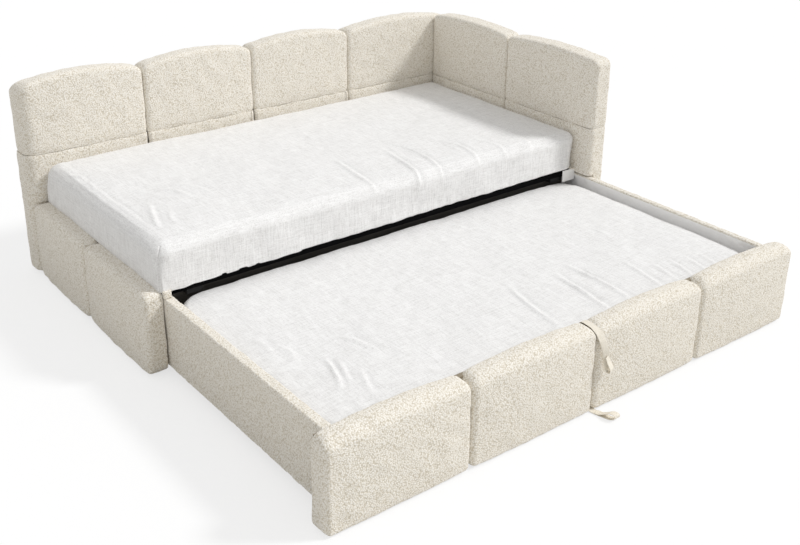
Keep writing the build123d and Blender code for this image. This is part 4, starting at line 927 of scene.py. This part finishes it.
def webbing():
    """Herringbone-ribbed cotton webbing: ribs along the strap, crossed by fine weft lines."""
    finish = Finish("webbing", roughness=0.85, specular=0.2, sheen=0.15)
    finish.where = finish.tree.nodes.new("ShaderNodeUVMap").outputs["UV"]
    finish.where.node.uv_map = "weave"
    ribs = finish.noise(1.0, (900.0, 60.0, 1.0), detail=1.0)
    weft = finish.noise(1.0, (80.0, 800.0, 1.0), detail=1.0)
    weave = finish.sum((ribs, 0.5), (weft, 0.5))
    finish.colour(
        weave, (0.3, paint(210, 203, 188)), (0.5, paint(234, 227, 213)), (0.7, paint(247, 242, 231))
    )
    finish.relief(weave, 0.0008)
    return finish.material


def ribbon(name, node, stations):
    """Webbing carried along a smooth line. stations are (x, y, z, twist): the line runs through
    them, and twist turns the strap's width about the line, in degrees."""
    stations = np.array(stations)
    reach = np.concatenate([[0], np.cumsum(np.linalg.norm(np.diff(stations[:, :3], axis=0), axis=1))])
    fine = np.linspace(0, reach[-1], round(reach[-1] / STRAP_STEP))
    weights = np.exp(-(((fine[:, None] - fine[None]) / BEND_SOFTNESS) ** 2))
    weights /= weights.sum(axis=1)[:, None]
    run = np.stack([np.interp(fine, reach, stations[:, i]) for i in range(4)], axis=1)
    line = weights @ run
    line[[0, -1]] = run[[0, -1]]
    heading = np.gradient(line[:, :3], axis=0)
    heading /= np.linalg.norm(heading, axis=1)[:, None]
    sideways = np.tile([1.0, 0.0, 0.0], (len(line), 1))
    sideways -= heading * (heading[:, :1])
    sideways /= np.linalg.norm(sideways, axis=1)[:, None]
    upright = np.cross(heading, sideways)
    twist = np.radians(line[:, 3:])
    width_way = sideways * np.cos(twist) + upright * np.sin(twist)
    face_way = np.cross(heading, width_way)
    flat = (STRAP_WIDTH - STRAP_THICKNESS) / 2
    top = np.linspace(-flat, flat, FLAT_POINTS)
    turn = np.linspace(-math.pi / 2, math.pi / 2, STRAP_CORNERS)[1:-1]
    bead = STRAP_THICKNESS / 2
    across = np.concatenate([top, flat + bead * np.cos(turn), top[::-1], -flat - bead * np.cos(turn)])
    face = np.full(FLAT_POINTS, bead)
    up = np.concatenate([-face, bead * np.sin(turn), face, -bead * np.sin(turn)])
    count, steps = len(across), len(line)
    points = line[:, None, :3] + width_way[:, None] * across[None, :, None]
    points = (points + face_way[:, None] * up[None, :, None]).reshape(-1, 3)
    wall = tube(count, steps)
    half = count // 2 - 1
    roll = np.roll(np.arange(count), (STRAP_CORNERS - 2) // 2 + 1)
    pair = np.arange(half)
    cap = [roll[pair], roll[count - 1 - pair], roll[count - 2 - pair], roll[pair + 1]]
    cap = np.stack(cap, axis=-1)
    quads = np.concatenate([wall, cap, cap[:, ::-1] + (steps - 1) * count])
    weave = np.stack([np.tile(across, steps), np.repeat(fine, count)], axis=1)
    made = add_piece(name, points, quads, [canvas], "trundle", [node], weave=weave)
    length = float(np.linalg.norm(np.diff(line[:, :3], axis=0), axis=1).sum())


canvas = webbing()
groove = sum(corner[0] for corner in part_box("upper_pull_strap")) / 2
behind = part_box("front_board")[1][1] + 0.0013
ribbon("upper_strap_webbing", "upper_pull_strap", [
    (groove, behind, 0.270, 0), (groove, behind, 0.296, 0),
    (groove, behind - 0.010, 0.3055, 0), (groove, -0.958, 0.3065, 0),
    (groove + 0.001, -0.984, 0.303, 0), (groove + 0.004, -1.007, 0.289, 6),
    (groove + 0.010, -1.021, 0.262, 10), (groove + 0.020, -1.0265, 0.228, 14),
    (groove + 0.031, -1.0255, 0.192, 16), (groove + 0.040, -1.0245, 0.160, 18),
    (groove + 0.043, -1.028, 0.148, 18), (groove + 0.044, -1.038, 0.149, 18),
    (groove + 0.041, -1.041, 0.162, 18), (groove + 0.034, -1.032, 0.186, 18),
    (groove + 0.027, -1.0295, 0.208, 16),
])
ribbon("lower_strap_webbing", "lower_pull_strap", [
    (groove, behind, 0.051, 0), (groove, behind, 0.024, 0),
    (groove, behind - 0.006, 0.0168, 0), (groove, -0.955, 0.0165, 0),
    (groove + 0.002, -0.985, 0.008, 0), (groove + 0.006, -1.012, 0.0024, 0),
    (groove + 0.014, -1.047, 0.0022, 0), (groove + 0.022, -1.075, 0.0025, 0),
    (groove + 0.026, -1.089, 0.0075, 0), (groove + 0.027, -1.0955, 0.016, 0),
    (groove + 0.025, -1.090, 0.0245, 0), (groove + 0.021, -1.074, 0.0245, 0),
    (groove + 0.015, -1.053, 0.012, 0), (groove + 0.011, -1.038, 0.0052, 0),
    (groove + 0.008, -1.022, 0.0048, 0),
])


# Camera, floor and light
# The camera stands where the picture was taken from. A pale floor, a soft light from the right
# and an even surrounding light show each colour about as it is written.
CAMERA_PLACE = Vector((-2.30727, -2.96407, 1.96155))
CAMERA_AIM = Vector((0.5632, 0.7232, -0.3997))
CAMERA_ROLL = math.radians(0.58)
FLOOR_HALF = 40.0
SURROUND = 0.64
KEY_STRENGTH = 2.0
KEY_SPREAD = math.radians(10)
KEY_FROM = Vector((0.613, -0.386, 0.689))
SHADE_LIFT = 0.7


def aimed(way, roll):
    """Axes of a camera that looks along way: right, up and back, turned by roll."""
    forward = way.normalized()
    right = forward.cross(Vector((0, 0, 1))).normalized()
    up = right.cross(forward)
    turned_right = right * math.cos(roll) + up * math.sin(roll)
    turned_up = up * math.cos(roll) - right * math.sin(roll)
    return Matrix((turned_right, turned_up, -forward)).transposed().to_4x4()


def seen(tree):
    """1 for a ray from the camera, off a shiny surface or through glass, and 0 for one that lights."""
    rays = tree.nodes.new("ShaderNodeLightPath")
    total = rays.outputs["Is Camera Ray"]
    for name in ("Is Glossy Ray", "Is Transmission Ray"):
        either = tree.nodes.new("ShaderNodeMath")
        either.operation = "MAXIMUM"
        tree.links.new(total, either.inputs[0])
        tree.links.new(rays.outputs[name], either.inputs[1])
        total = either.outputs[0]
    return total


camera = bpy.data.objects.new("camera", bpy.data.cameras.new("camera"))
camera.data.lens = 48.84
camera.data.sensor_width = 36.0
camera.data.shift_y = -0.0656
camera.matrix_world = Matrix.Translation(CAMERA_PLACE) @ aimed(CAMERA_AIM, CAMERA_ROLL)
bpy.context.scene.collection.objects.link(camera)
bpy.context.scene.camera = camera

# Seen by the camera the floor is white, with the object's shadow lifted. It throws less light back.
floor_finish = Finish("pale_floor", roughness=0.9, specular=0.0)
shown = seen(floor_finish.tree)
floor_finish.colour(shown, (0.0, paint(221, 220, 217)), (1.0, paint(248, 248, 248)))
glow = floor_finish.node("ShaderNodeEmission")
mixed = floor_finish.node(
    "ShaderNodeMixShader",
    floor_finish.sum((shown, SHADE_LIFT)), floor_finish.shader.outputs[0], glow.outputs[0],
)
output = floor_finish.tree.nodes["Material Output"]
floor_finish.tree.links.new(mixed.outputs[0], output.inputs["Surface"])
floor_mesh = bpy.data.meshes.new("floor")
floor_corners = [(x * FLOOR_HALF, y * FLOOR_HALF, 0) for x, y in ((-1, -1), (1, -1), (1, 1), (-1, 1))]
floor_mesh.from_pydata(floor_corners, [], [(0, 1, 2, 3)])
floor_mesh.materials.append(floor_finish.material)
floor = bpy.data.objects.new("floor", floor_mesh)
bpy.context.scene.collection.objects.link(floor)

key = bpy.data.objects.new("key", bpy.data.lights.new("key", "SUN"))
key.data.energy = KEY_STRENGTH
key.data.angle = KEY_SPREAD
key.rotation_mode = "QUATERNION"
key.rotation_quaternion = KEY_FROM.to_track_quat("Z", "Y")
bpy.context.scene.collection.objects.link(key)

world = bpy.data.worlds.new("surround")
bpy.context.scene.world = world
world.use_nodes = True
tree = world.node_tree
tree.nodes.clear()
lighting = tree.nodes.new("ShaderNodeBackground")
lighting.inputs["Strength"].default_value = SURROUND
backdrop = tree.nodes.new("ShaderNodeBackground")
for background in (lighting, backdrop):
    background.inputs["Color"].default_value = (1, 1, 1, 1)
mixed = tree.nodes.new("ShaderNodeMixShader")
tree.links.new(seen(tree), mixed.inputs["Fac"])
tree.links.new(lighting.outputs[0], mixed.inputs[1])
tree.links.new(backdrop.outputs[0], mixed.inputs[2])
tree.links.new(mixed.outputs[0], tree.nodes.new("ShaderNodeOutputWorld").inputs["Surface"])

bpy.context.scene.view_settings.view_transform = "Standard"
